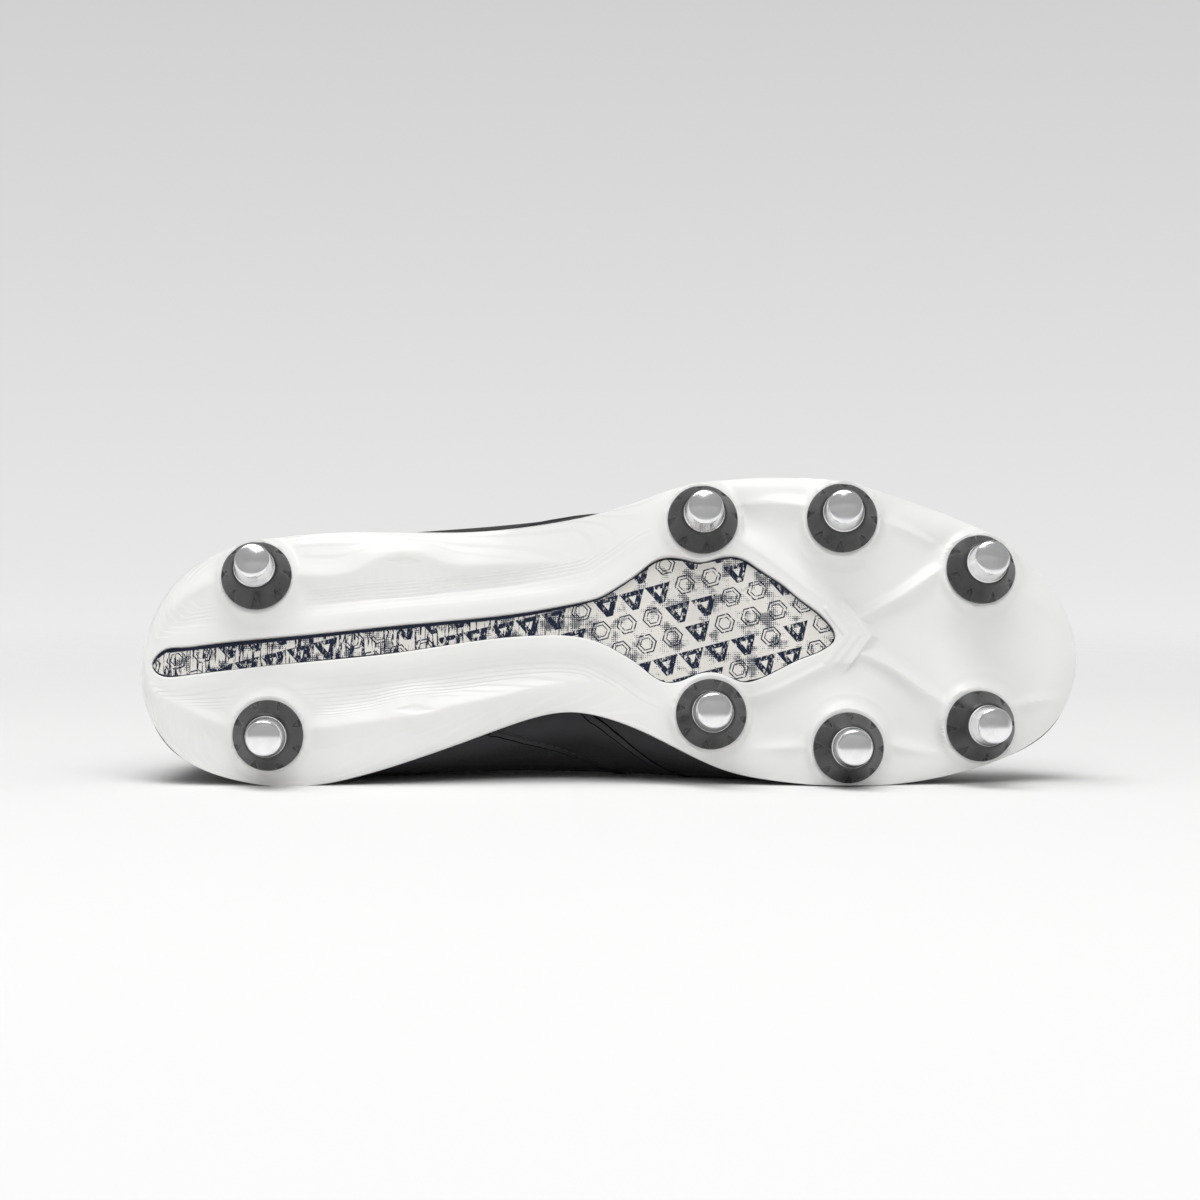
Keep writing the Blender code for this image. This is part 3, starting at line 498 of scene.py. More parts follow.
def upper_sheet(fan, arch_rows, shares):
    """Outer face of the upper: a column of points for each ray, from the plate to the top edge."""
    plate, girth = fan.reach(plate_edge), fan.reach(girth_edge)
    inner, top, _ = fan.seat(plate)
    foot = inner - GAP
    low = girth_height(fan.at(girth)[:, 0])
    start = top + LIP_CLEAR
    plan = fan.at(foot)
    columns = [np.column_stack([plan, rise(plan[:, 0]) + PLATE + GAP])]
    for row in range(arch_rows):
        swing = math.pi / 2 * row / arch_rows
        plan = fan.at(foot + (girth - foot) * math.sin(swing))
        columns.append(np.column_stack([plan, start + (low - start) * (1 - math.cos(swing))]))
    arch = np.stack(columns, axis=1)
    angles = top_angles(fan, girth)[:, None] * np.asarray(shares)[None]
    return np.concatenate([arch, crown_points(fan, girth, angles)], axis=1)


# The lie: the floor as a line across the boot, and the roll that brings the upper down to it
floor_y = plate_edge[:, 1].max() - FLOOR_FLAT
floor_z = 0.5 * (PLATE + lip(0.75 * LENGTH))
coarse = upper_sheet(Fan(axis_y, AXIS_HEEL, AXIS_TOE, *SOURCE_FAN), SOURCE_ARCH_ROWS,
                     np.linspace(0, 1, SOURCE_CROWN_ROWS)).reshape(-1, 3)
raised = coarse[coarse[:, 2] > 3 * floor_z]
ROLL = np.arctan2(floor_y - raised[:, 1] + 2 * FLOOR_FLAT, raised[:, 2] - floor_z).min()
ROLL_COS, ROLL_SIN = math.cos(ROLL), math.sin(ROLL)


def laid(points):
    """The points, each brought up to the floor where it would lie below it."""
    points = np.array(points, float)
    under = np.minimum((floor_y - points[..., 1]) * ROLL_COS - (points[..., 2] - floor_z) * ROLL_SIN, 0)
    points[..., 1] += under * ROLL_COS
    points[..., 2] += under * ROLL_SIN
    return points


def rolled(points):
    """Boot coordinates in millimetres turned the way the boot lies, in metres."""
    x, y, z = np.moveaxis(np.asarray(points, float) * MM, -1, 0)
    return np.stack([x, z * ROLL_COS - y * ROLL_SIN, -y * ROLL_COS - z * ROLL_SIN], axis=-1)


def stud_frame(stud):
    """(seat centre, unit axis away from the plate) of a row of the stud table."""
    x, y = stud[:2]
    lean, splay = (math.tan(math.radians(angle)) for angle in stud[2:])
    side = math.copysign(1, y - axis_y(x))
    return Vector((x, y, float(rise(x)) - BOSS_HEIGHT)), Vector((lean, side * splay, -1)).normalized()


def stud_points(stud, points):
    """Points of a turned part moved from its own axis to a stud's place."""
    seat, way = stud_frame(stud)
    turn = np.array(Vector((0, 0, 1)).rotation_difference(way).to_matrix())
    return points @ turn.T + np.array(seat + way * GAP)


def ring_points(radius, height, sides):
    """A ring round the z axis; the radius may differ from side to side."""
    angle = np.linspace(0, 2 * math.pi, sides, endpoint=False)
    return np.column_stack([radius * np.cos(angle), radius * np.sin(angle), np.full(sides, height)])


def lie_offset():
    """Shift from the rolled boot to the frame, from the places of the studs' skirts."""
    rings = np.vstack([ring_points(radius, height, SOURCE_SIDES) for radius, height in SOURCE_SKIRT])
    shifts = []
    for name, stud in STUDS.items():
        points = rolled(stud_points(stud, rings))
        middle = np.mean(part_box("stud_skirt_" + name), axis=0)
        shifts.append(middle - 0.5 * (points.min(axis=0) + points.max(axis=0)))
    return np.mean(shifts, axis=0)


OFFSET = lie_offset()


# Materials
class Signal:
    """An output of a shader node, to be reckoned with."""

    def __init__(self, shader, socket):
        self.shader = shader
        self.socket = socket

    def math(self, operation, other=0.0):
        return self.shader.add("Math", {0: self, 1: other}, operation=operation)

    def __add__(self, other):
        return self.math("ADD", other)

    def __sub__(self, other):
        return self.math("SUBTRACT", other)

    def __mul__(self, other):
        return self.math("MULTIPLY", other)

    def __truediv__(self, other):
        return self.math("DIVIDE", other)

    def __abs__(self):
        return self.math("ABSOLUTE")

    def most(self, other):
        return self.math("MAXIMUM", other)

    def wave(self, pitch):
        return (self * (2 * math.pi / pitch)).math("SINE")

    def span(self, low, high, start=0.0, end=1.0):
        """Brought smoothly from low..high to start..end."""
        inputs = {"Value": self, "From Min": low, "From Max": high, "To Min": start, "To Max": end}
        return self.shader.add("MapRange", inputs, interpolation_type="SMOOTHSTEP")

    def split(self):
        """Parts of a vector along x, y and z."""
        node = self.shader.tree.nodes.new("ShaderNodeSeparateXYZ")
        self.shader.tree.links.new(self.socket, node.inputs[0])
        return [Signal(self.shader, output) for output in node.outputs]


class Shader:
    """A material under construction. add() makes a node and joins or sets its inputs."""

    def __init__(self, name, **settings):
        self.material = bpy.data.materials.new(name)
        self.material.use_nodes = True
        self.tree = self.material.node_tree
        self.surface = self.tree.nodes["Principled BSDF"]
        self.set(**settings)

    def join(self, node, key, value):
        socket = node.inputs[key]
        if isinstance(value, Signal):
            self.tree.links.new(value.socket, socket)
        elif isinstance(value, tuple) and len(value) == 3 and socket.type == "RGBA":
            socket.default_value = (*value, 1)
        else:
            socket.default_value = value

    def set(self, **settings):
        for key, value in settings.items():
            self.join(self.surface, key.replace("_", " "), value)

    def add(self, kind, inputs, output=0, **properties):
        node = self.tree.nodes.new("ShaderNode" + kind)
        for key, value in properties.items():
            setattr(node, key, value)
        for key, value in inputs.items():
            self.join(node, key, value)
        return Signal(self, node.outputs[output])

    def vector(self, operation, a, b=(0, 0, 0)):
        output = "Value" if operation in ("LENGTH", "DISTANCE") else "Vector"
        return self.add("VectorMath", {0: a, 1: b}, output, operation=operation)

    def place(self, size=1.0):
        """Position on the piece in units of size millimetres."""
        spot = self.add("TexCoord", {}, "Object")
        return self.add("VectorMath", {0: spot, "Scale": 1 / (size * MM)}, operation="SCALE")

    def chart(self, name="chart"):
        """A chart of the piece, in millimetres."""
        return self.add("UVMap", {}, uv_map=name)

    def noise(self, spot, scale=1.0, detail=2.0, rough=0.5):
        return self.add("TexNoise", {"Vector": spot, "Scale": scale, "Detail": detail, "Roughness": rough})

    def cloud(self, size, detail=2.0, rough=0.5):
        """Noise on the piece of a size in millimetres."""
        return self.noise(self.place(size), 1.0, detail, rough)

    def cells(self, size, feature="F1"):
        inputs = {"Vector": self.place(size), "Scale": 1.0}
        return self.add("TexVoronoi", inputs, "Distance", feature=feature)

    def blend(self, share, a, b):
        """Colour between a and b."""
        return self.add("Mix", {"Factor": share, "A": a, "B": b}, "Result", data_type="RGBA")

    def bump(self, height, distance, strength=1.0, below=None):
        """Normal with bumps of a distance in millimetres, over another normal."""
        inputs = {"Height": height, "Distance": distance * MM, "Strength": strength}
        if below is not None:
            inputs["Normal"] = below
        return self.add("Bump", inputs)


def plate_material():
    """Moulded white thermoplastic: satin, with a fine spark texture and faint clouding."""
    s = Shader("moulded_white", IOR=1.5, Subsurface_Weight=0.08, Subsurface_Radius=(1.0, 0.9, 0.8),
               Subsurface_Scale=0.002, Coat_Weight=0.12, Coat_Roughness=0.2)
    cloud = s.cloud(24, 3)
    scuff = s.noise(s.vector("MULTIPLY", s.place(), (0.12, 1.6, 1.6)))
    level, share, _ = s.chart().split()
    step = level.math("FRACT")
    climb = (step / TERRACE_CLIMB).math("MINIMUM", (step - 1) / (TERRACE_CLIMB - 1))
    terrace = s.bump(climb * share, TERRACE_DEPTH)
    s.set(Base_Color=s.blend(cloud.span(0.3, 0.7), (0.872, 0.870, 0.856), (0.848, 0.847, 0.832)),
          Roughness=cloud.span(0.3, 0.7, 0.3, 0.38) + scuff.span(0.62, 0.75, 0.0, 0.06),
          Normal=s.bump(s.cloud(0.35), 0.03, 0.35, terrace))
    return s.material


def nylon_material():
    """Charcoal glass-filled nylon of the stud skirts: dull, with pale flecks."""
    s = Shader("charcoal_nylon", IOR=1.53)
    cloud = s.cloud(5, 4, 0.6)
    body = s.blend(cloud.span(0.3, 0.7), (0.026, 0.026, 0.027), (0.042, 0.042, 0.043))
    s.set(Base_Color=s.blend(s.cells(1.1).span(0.06, 0.12, 0.55, 0.0), body, (0.2, 0.2, 0.2)),
          Roughness=cloud.span(0.3, 0.7, 0.27, 0.38), Normal=s.bump(s.cloud(0.25), 0.03, 0.4))
    return s.material


def aluminium_material():
    """Bright turned aluminium: rings from the lathe and fine rubs."""
    s = Shader("turned_aluminium", Metallic=1.0)
    along = s.chart().split()[0]
    rings = s.add("TexNoise", {"W": along, "Scale": 9.0, "Detail": 3.0}, noise_dimensions="1D")
    rubs = s.cloud(3, 3)
    s.set(Base_Color=s.blend(rubs.span(0.35, 0.75), (0.92, 0.92, 0.93), (0.84, 0.84, 0.86)),
          Roughness=rubs.span(0.3, 0.8, 0.14, 0.22), Normal=s.bump(rings, 0.004, 0.6))
    return s.material


def window_material():
    """Clear glossy window over a worn print: a made-up pattern of triangles, hexagons and raster dots."""
    s = Shader("printed_window", IOR=1.5, Specular_IOR_Level=0.15, Coat_Weight=0.6, Coat_Roughness=0.05,
               Coat_IOR=1.5, Roughness=0.32)
    navy, paper, pale = (0.005, 0.0125, 0.038), (0.79, 0.76, 0.72), (0.85, 0.83, 0.79)
    chart = s.chart()
    turn = {"Vector": chart, "Angle": math.radians(PRINT_TURN)}
    u, v, _ = s.add("VectorRotate", turn, rotation_type="Z_AXIS").split()
    row = (v / PRINT_ROW).math("FLOOR")
    slid = u + row * PRINT_SLIDE
    column = (slid / PRINT_COLUMN).math("FLOOR")
    aside = abs(slid - (column + 0.5) * PRINT_COLUMN)
    up = v - (row + 0.5) * PRINT_ROW
    tall = abs(up)
    hexagon = tall.most(aside * 0.866 + tall * 0.5)
    triangle = (aside * 0.9 + up * 0.46).most(up * -1.25)
    outer, inner = abs(hexagon - 2.7), abs(hexagon - 1.75)
    lines = outer.span(0.16, 0.26, 1.0, 0.0).most(inner.span(0.12, 0.22, 1.0, 0.0))
    solid = abs(triangle - 1.75).span(0.85, 0.97, 1.0, 0.0)
    cell = s.add("CombineXYZ", {0: column, 1: row, 2: 3.0})
    pick = s.add("TexWhiteNoise", {"Vector": cell}, "Value").math("GREATER_THAN", 0.5)
    motif = s.add("Mix", {"Factor": pick, "A": lines, "B": solid}, "Result")

    # Wear: torn patches, fields of raster dots, specks, and streaks in the narrow part behind
    wide = s.noise(chart, 0.16, 3, 0.6)
    tear = s.noise(s.vector("MULTIPLY", chart, (1.0, 0.45, 1.0)), 0.9, 6, 0.75)
    dots = s.vector("FRACTION", s.vector("MULTIPLY", chart, (1.7, 1.7, 0.0)))
    raster = s.vector("DISTANCE", dots, (0.5, 0.5, 0.0)).math("LESS_THAN", wide.span(0.44, 0.64, 0.0, 0.52))
    specks = s.noise(chart, 3.1).span(0.70, 0.74)
    bars = s.noise(s.vector("MULTIPLY", chart, (1.15, 0.1, 1.0)), 1.0, 1)
    streaks = bars.span(0.53, 0.56) * chart.split()[0].span(*NARROW_END, 1.0, 0.0) * tear.span(0.42, 0.5)
    # Dark band from the border chart: printed border, and along the outer edge also painted shadow of the
    # opening's wall.
    border = s.chart("border").split()[0] + (tear - 0.5) * 0.7
    ink = (motif * tear.span(0.40, 0.47)).most(raster * 0.9).most(specks).most(streaks)
    ink = ink.most(border.span(0.0, 0.12, 1.0, 0.0))
    s.set(Base_Color=s.blend(ink, s.blend(wide.span(0.3, 0.7), paper, pale), navy))
    return s.material


def leather_material():
    """Black coated upper: pebbled grain with fine pores, a low sheen, and a band of painted light beside the
    plate.
    """
    s = Shader("black_grain", IOR=1.48, Specular_IOR_Level=0.22, Sheen_Weight=0.02, Sheen_Roughness=0.5)
    grain = s.cells(0.9, "SMOOTH_F1")
    cloud = s.cloud(18, 3)
    body = s.blend(cloud.span(0.35, 0.7), (0.0085, 0.0081, 0.0098), (0.013, 0.0124, 0.0146))
    # Painted light: the colour is paler, unevenly, up to 6 to 17 mm from the plate along the chart's way up.
    painted_light_by_plate = s.chart().split()[1].span(6.0, 17.0, 1.0, 0.0) * cloud.span(0.2, 0.6, 0.75, 1.0)
    s.set(Base_Color=s.blend(painted_light_by_plate, body, (0.032, 0.0305, 0.034)),
          Roughness=cloud.span(0.3, 0.7, 0.42, 0.52) + grain.span(0.1, 0.7, 0.0, 0.1),
          Normal=s.bump(grain, 0.1, 0.45, s.bump(s.cloud(0.3, 3), 0.03, 0.4)))
    return s.material


def thread_material():
    """Black waxed thread of the stitches."""
    s = Shader("black_thread", Roughness=0.55, Base_Color=(0.014, 0.0138, 0.0155))
    s.set(Normal=s.bump(s.cloud(0.4), 0.05, 0.5))
    return s.material


def knit_material(name, colour, pitch):
    """Knitted lining: rows of small loops from the piece's chart."""
    s = Shader(name, Roughness=0.92, Sheen_Weight=0.25, Sheen_Roughness=0.6)
    u, v, _ = s.chart().split()
    wale = abs(u.wave(pitch))
    loop = wale * 0.6 + (v + wale * (0.45 * pitch)).wave(0.8 * pitch) * 0.5
    dark = tuple(0.55 * part for part in colour)
    s.set(Base_Color=s.blend(loop.span(-0.4, 0.9), dark, colour),
          Normal=s.bump(loop, 0.18, 0.8, s.bump(s.cloud(0.6, 3), 0.05, 0.5)))
    return s.material


def lace_material():
    """Flat woven lace: a plain weave on the lace's chart."""
    s = Shader("black_weave", Roughness=0.8, Sheen_Weight=0.2, Sheen_Roughness=0.5)
    u, v, _ = s.chart().split()
    weave = v.wave(0.7) * u.wave(0.9)
    s.set(Base_Color=s.blend(weave.span(-0.8, 0.8), (0.008, 0.008, 0.009), (0.022, 0.022, 0.024)),
          Normal=s.bump(weave, 0.12, 0.8, s.bump(s.cloud(0.5, 3), 0.05, 0.5)))
    return s.material


# Making pieces
def placed(points):
    """Boot coordinates to the frame."""
    return rolled(points) + OFFSET


def linked(name, data):
    """A new object in the scene."""
    obj = bpy.data.objects.new(name, data)
    bpy.context.scene.collection.objects.link(obj)
    return obj


def drawn(name, bm):
    """A new object from a bmesh, which is used up."""
    mesh = bpy.data.meshes.new(name)
    bm.to_mesh(mesh)
    bm.free()
    return linked(name, mesh)


def shaded(mesh, angle):
    mesh.shade_smooth()
    mesh.set_sharp_from_angle(angle=math.radians(angle))


def tidy(mesh):
    """Merges doubles, turns faces outwards and smooths the shading."""
    bm = bmesh.new()
    bm.from_mesh(mesh)
    bmesh.ops.remove_doubles(bm, verts=bm.verts, dist=1e-7)
    bmesh.ops.recalc_face_normals(bm, faces=bm.faces)
    bm.to_mesh(mesh)
    bm.free()
    shaded(mesh, SHARP)


def piece(name, points, faces, material, nodes=(), slot=None, **charts):
    """A mesh from boot coordinates that rides on the boot and replaces CAD nodes; charts become UV layers."""
    mesh = bpy.data.meshes.new(name)
    mesh.from_pydata(placed(np.reshape(points, (-1, 3))).tolist(), [], faces)
    corners = np.empty(len(mesh.loops), np.int32)
    mesh.loops.foreach_get("vertex_index", corners)
    for label, values in charts.items():
        layer = mesh.uv_layers.new(name=label)
        layer.data.foreach_set("uv", np.reshape(values, (-1, 2)).astype(np.float32)[corners].ravel())
    mesh.materials.append(material)
    obj = linked(name, mesh)
    tidy(mesh)
    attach(obj, "root")
    if nodes:
        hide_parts(*nodes)
    return obj


def smoothed(obj):
    """Adds a smoothing modifier to a piece."""
    smooth = obj.modifiers.new("smooth", "SUBSURF")
    smooth.levels = smooth.render_levels = 1


def applied(obj):
    """Bakes the modifiers of a piece into its mesh."""
    graph = bpy.context.evaluated_depsgraph_get()
    mesh = bpy.data.meshes.new_from_object(obj.evaluated_get(graph), depsgraph=graph)
    old = obj.data
    obj.modifiers.clear()
    obj.data = mesh
    mesh.name = obj.name
    bpy.data.meshes.remove(old)
    shaded(mesh, SHARP_BAKED)


def grid_faces(rows, columns, wrap_rows=False, wrap_columns=False, base=0):
    """Quads over a grid of points stored row by row."""
    index = base + np.arange(rows * columns).reshape(rows, columns)
    if wrap_rows:
        index = np.vstack([index, index[:1]])
    if wrap_columns:
        index = np.hstack([index, index[:, :1]])
    quads = np.stack([index[:-1, :-1], index[1:, :-1], index[1:, 1:], index[:-1, 1:]], axis=-1)
    return quads.reshape(-1, 4).tolist()


def tube_faces(count, sides):
    """Quads between rings of points, and a cap at each end."""
    last = (count - 1) * sides
    caps = [tuple(range(sides)), tuple(range(last, last + sides))[::-1]]
    return grid_faces(count, sides, wrap_columns=True) + caps


def joined(meshes):
    """One list of points and faces from several."""
    points, faces, base = [], [], 0
    for more, polygons in meshes:
        points.append(more)
        faces += [tuple(i + base for i in face) for face in polygons]
        base += len(more)
    return np.vstack(points), faces


def line_distance(x, y, line):
    """Distance from points to a closed line of short chords."""
    best = np.full(x.shape, 1e9)
    for (ax, ay), (bx, by) in zip(line, np.roll(line, -1, axis=0)):
        dx, dy = bx - ax, by - ay
        share = np.clip(((x - ax) * dx + (y - ay) * dy) / max(dx * dx + dy * dy, 1e-12), 0, 1)
        np.minimum(best, (x - ax - share * dx) ** 2 + (y - ay - share * dy) ** 2, out=best)
    return np.sqrt(best)


def rib_height(x, y, rows):
    """Height of a ridge with a crisp crest, whose two flanks fall straight to their own reach."""
    line = open_line(rows, RIB_CHORDS)
    best = np.full(x.shape, -1e3)
    for (ax, ay, in_a, out_a, high_a), (bx, by, in_b, out_b, high_b) in zip(line, line[1:]):
        dx, dy = bx - ax, by - ay
        share = np.clip(((x - ax) * dx + (y - ay) * dy) / (dx * dx + dy * dy), 0, 1)
        off = np.hypot(x - ax - share * dx, y - ay - share * dy)
        inner = (y - ay) * dx - (x - ax) * dy > 0
        reach = np.where(inner, in_a + share * (in_b - in_a), out_a + share * (out_b - out_a))
        high = high_a + share * (high_b - high_a)
        fall = (np.hypot(off, CREST_ROUND) - CREST_ROUND) / np.maximum(reach, 0.5)
        np.maximum(best, high - (high + RIB_FOOT) * fall, out=best)
    return best


def boss_height(x, y, stud):
    """Height of the seat under a stud: flat and round, with flanks that run out longer towards the axis."""
    seat, way = stud_frame(stud)
    dx, dy = x - seat.x, y - seat.y
    plane = rise(x) - (seat.z - (way.x * dx + way.y * dy) / way.z)
    inwards = math.copysign(1, axis_y(seat.x) - seat.y)
    far = np.hypot(dx, dy)
    turn = inwards * dy / np.maximum(far, 1e-6)
    beyond = np.maximum(far - BOSS_SEAT, 0)
    spread = BOSS_SPREAD + BOSS_SPREAD_INWARDS * np.maximum(turn, 0)
    fillet = BOSS_FALL * (1 - np.exp(-beyond / spread))
    return plane - fillet - BOSS_RUNOUT * np.maximum(beyond - 2 * spread, 0)


def chevron_height(x, y):
    """Stepped arrow in front of the window."""
    aside = np.abs(y - CHEVRON_Y)
    along = x + CHEVRON_SLOPE * aside
    height = np.full(x.shape, CHEVRON_BASE)
    before = CHEVRON_BASE
    for start, level in CHEVRON_STEPS:
        height += (level - before) * ease(start - CHEVRON_STEP_HALF, start + CHEVRON_STEP_HALF, along)
        before = level
    beyond = np.maximum(along - CHEVRON_ENDS[1], 0) + np.maximum(CHEVRON_ENDS[0] - x, 0)
    return height - CHEVRON_FALLS[0] * np.maximum(aside - CHEVRON_REACH, 0) - CHEVRON_FALLS[1] * beyond


def frame_height(x, to_window, to_edge):
    """Raised frame round the window, lower beside the plate's edge and at the heel."""
    fall = np.maximum(to_window - FRAME_FLAT, 0) / FRAME_FALL
    height = FRAME_HEIGHT - (FRAME_HEIGHT + FRAME_FOOT) * fall ** 2
    for value, (depth, low, high) in ((to_edge, FRAME_AT_EDGE), (x, FRAME_AT_HEEL)):
        height = height - depth * (1 - ease(low, high, value))
    return height


def plate_height(x, y, drop):
    """(height, terrace level, share of terracing) under the plate; drop is how far its edge has turned up."""
    to_window = line_distance(x, y, window_edge)
    to_edge = line_distance(x, y, plate_edge)
    forefoot = ease(*FOREFOOT_FROM, x) * (1 - ease(*FOREFOOT_TO, x))
    height = -drop - (HOLLOW + HOLLOW_FOREFOOT * forefoot) * ease(*HOLLOW_FROM_EDGE, to_edge)
    height = smooth_max(height, frame_height(x, to_window, to_edge), RIB_BLEND)
    for rows in RIBS.values():
        height = smooth_max(height, rib_height(x, y, rows) - drop, RIB_BLEND)
    height = smooth_max(height, chevron_height(x, y), CHEVRON_BLEND)
    for fx, fy, half_x, half_y in FACETS:
        off = np.abs(x - fx) / half_x + np.abs(y - fy) / half_y
        height = height - FACET_DEPTH * ease(*FACET_EDGE, off)

    away = np.minimum(to_window, 0.5 * (to_window + to_edge))
    level = TERRACE_BY_DISTANCE * away + TERRACE_BY_HEIGHT * height
    step = level % 1
    climb = np.minimum(step / TERRACE_CLIMB, (1 - step) / (1 - TERRACE_CLIMB))
    to_stud = np.min([np.hypot(x - stud[0], y - stud[1]) for stud in STUDS.values()], axis=0)
    share = ease(*TERRACE_WINDOW, to_window) * (1 - ease(*TERRACE_END, x))
    share = share * ease(*TERRACE_STUDS, to_stud) * (1 - ease(*TERRACE_HEIGHTS, height))
    height = height + TERRACE_DEPTH * share * climb
    for stud in STUDS.values():
        height = smooth_max(height, boss_height(x, y, stud), BOSS_BLEND)
    return height, level, share


def build_plate(material):
    """The moulded plate as a ring of profiles round the window: underside, edge, lip, top, window wall."""
    fan = Fan(window_middle, WINDOW_HEEL, WINDOW_TOE, *PLATE_FAN)
    window, plate = fan.reach(window_edge), fan.reach(plate_edge)
    inner, lip_top, rounding = fan.seat(plate)
    near = window + RIM_FILLET
    soft = np.minimum(EDGE_TURN, EDGE_TURN_SHARE * (plate - near))
    far = plate - soft
    flat = near[:, None] + (far - near)[:, None] * np.linspace(0, 1, UNDER_ROWS) ** UNDER_CROWD
    turns = np.radians(np.linspace(0, 90, TURN_ROWS))[1:]
    edge = far[:, None] + soft[:, None] * np.sin(turns)
    drop = np.hstack([np.zeros_like(flat), rounding[:, None] * (1 - np.cos(turns))])
    plan = fan.at(np.hstack([flat, edge]))
    x, y = plan[..., 0], plan[..., 1]
    height, level, terraced = plate_height(x, y, drop)
    under = np.dstack([plan, rise(x) - height])

    def row(distance, height):
        return np.column_stack([fan.at(distance), height])[:, None]

    def over(distance, lift):
        return row(distance, rise(fan.at(distance)[:, 0]) + lift)

    outer = inner + LIP_WALL
    edge_z = under[:, -1, 2]
    rows = [under]
    for share, lean in LIP_ROWS:
        rows.append(row(plate + (outer - plate) * lean, edge_z + (lip_top - edge_z) * share))
    rows += [row(outer - LIP_TAPER, lip_top), row(inner + LIP_ROUND, lip_top)]
    rows.append(row(inner, lip_top - LIP_ROUND))
    rows += [over(inner, PLATE), over(0.5 * (inner + window), PLATE), over(window, PLATE)]
    for angle in np.radians((90, 60, 30)):
        lift = RIM_FILLET * (1 - math.cos(angle)) - height[:, 0]
        rows.append(over(window + RIM_FILLET * (1 - math.sin(angle)), lift))
    points = laid(np.concatenate(rows, axis=1))
    count, depth = points.shape[:2]
    chart = np.zeros((count, depth, 2))
    chart[:, :level.shape[1]] = np.dstack([level, terraced])
    faces = grid_faces(count, depth, wrap_rows=True, wrap_columns=True)
    piece("plate", points, faces, material, ["outsole"], "white_plate", chart=chart)


def build_window(material):
    """The printed panel: a thin slab, a little inside the opening."""
    along = 0.5 - 0.5 * np.cos(np.linspace(0, math.pi, WINDOW_ROWS))
    x = WINDOW[0, 0] + GAP + (WINDOW[-1, 0] - WINDOW[0, 0] - 2 * GAP) * along
    low, high = (np.interp(x, WINDOW[:, 0], WINDOW[:, column]) for column in (1, 2))
    slim = np.minimum(GAP, 0.3 * (high - low))
    low, high = low + slim, high - slim
    y = low[:, None] + (high - low)[:, None] * np.linspace(0, 1, WINDOW_COLUMNS)
    base = np.repeat(x[:, None], WINDOW_COLUMNS, axis=1)
    face = np.dstack([base, y, rise(base) + WINDOW_RECESS])
    back = np.dstack([base, y, rise(base) + PLATE - GAP])[:, ::-1]
    points = np.concatenate([face, back], axis=1).reshape(-1, 3)
    # How far each point lies inside the dark border: print, and along the outer edge also painted shadow, so
    # wider there
    px, py = points[:, 0], points[:, 1]
    inside = np.minimum(py - np.interp(px, x, low) - np.interp(px, NARROW_END, OUTER_BORDER_AND_SHADOW),
                        np.interp(px, x, high) - py - INNER_BORDER)
    piece("window_panel", points, tube_faces(WINDOW_ROWS, 2 * WINDOW_COLUMNS), material, ["sole_window"],
          "window_print", chart=points[:, :2], border=np.column_stack([inside, inside]))


def turned_points(profile, sides, notch=None):
    """Points and faces of a turned body; notch(angle, radius, height) takes a little off the radius."""
    angle = np.linspace(0, 2 * math.pi, sides, endpoint=False)
    rings = [[(0, 0, profile[0, 1])]]
    for radius, height in profile[1:-1]:
        cut = 0.0 if notch is None else notch(angle, radius, height)
        rings.append(ring_points(radius - cut, height, sides))
    points = np.vstack(rings + [[(0, 0, profile[-1, 1])]])
    faces = grid_faces(len(profile) - 2, sides, wrap_columns=True, base=1)
    last = len(points) - 1
    for i in range(sides):
        j = (i + 1) % sides
        faces += [(0, 1 + j, 1 + i), (last, last - sides + i, last - sides + j)]
    return points, faces


def skirt_notch(angle, radius, height):
    """Shallow wedges round the foot of a skirt's cone, narrowing upwards; the rim stays round."""
    if radius < NOTCH_RADIUS or height <= NOTCH_FROM:
        return np.zeros_like(angle)
    off = np.abs((angle * NOTCHES / (2 * math.pi) + 0.5) % 1 - 0.5) * 2 * math.pi / NOTCHES
    share = (height - NOTCH_FROM) / (NOTCH_TO - NOTCH_FROM)
    half = NOTCH_HALF_ANGLE * max(1 - share, 0.05)
    depth = NOTCH_DEPTH * ease(0.0, 0.1, share) * (1 - ease(0.6, 1.0, share))
    return depth * (1 - ease(0.6 * half, half, off))


def dense_profile(profile, pitch=0.7):
    """The profile with points added on its long runs."""
    rows = [profile[0]]
    for a, b in zip(profile, profile[1:]):
        steps = max(1, int(np.linalg.norm(b - a) / pitch)) if a[0] > 0 and b[0] > 0 else 1
        rows += [a + (b - a) * i / steps for i in range(1, steps + 1)]
    return np.array(rows)


def build_studs(nylon, aluminium):
    skirt_points, skirt_faces = turned_points(dense_profile(SKIRT), SKIRT_SIDES, skirt_notch)
    tip_points, tip_faces = turned_points(dense_profile(TIP), TIP_SIDES)
    along = np.hypot(tip_points[:, 0], tip_points[:, 1]) + tip_points[:, 2]
    tip_chart = np.column_stack([along, along])
    for turn, (name, stud) in enumerate(STUDS.items()):
        spin = np.array(Matrix.Rotation(STUD_SPIN * turn, 3, "Z")).T
        skirt, tip = (stud_points(stud, points @ spin) for points in (skirt_points, tip_points))
        piece("skirt_" + name, skirt, skirt_faces, nylon, ["stud_skirt_" + name], "grey_nylon")
        piece("tip_" + name, tip, tip_faces, aluminium, ["stud_tip_" + name], "bare_aluminium",
              chart=tip_chart)


# Widths of the last to each side of its axis along the boot
SIDE_STEPS = 119
STATIONS = np.linspace(AXIS_HEEL, AXIS_TOE, SIDE_STEPS + 1)
side_girth = Fan(axis_y, AXIS_HEEL, AXIS_TOE, SIDE_STEPS, 2, 2).reach(girth_edge)
GIRTH_IN = side_girth[:SIDE_STEPS + 1]
GIRTH_OUT = side_girth[SIDE_STEPS + 2:-1][::-1]


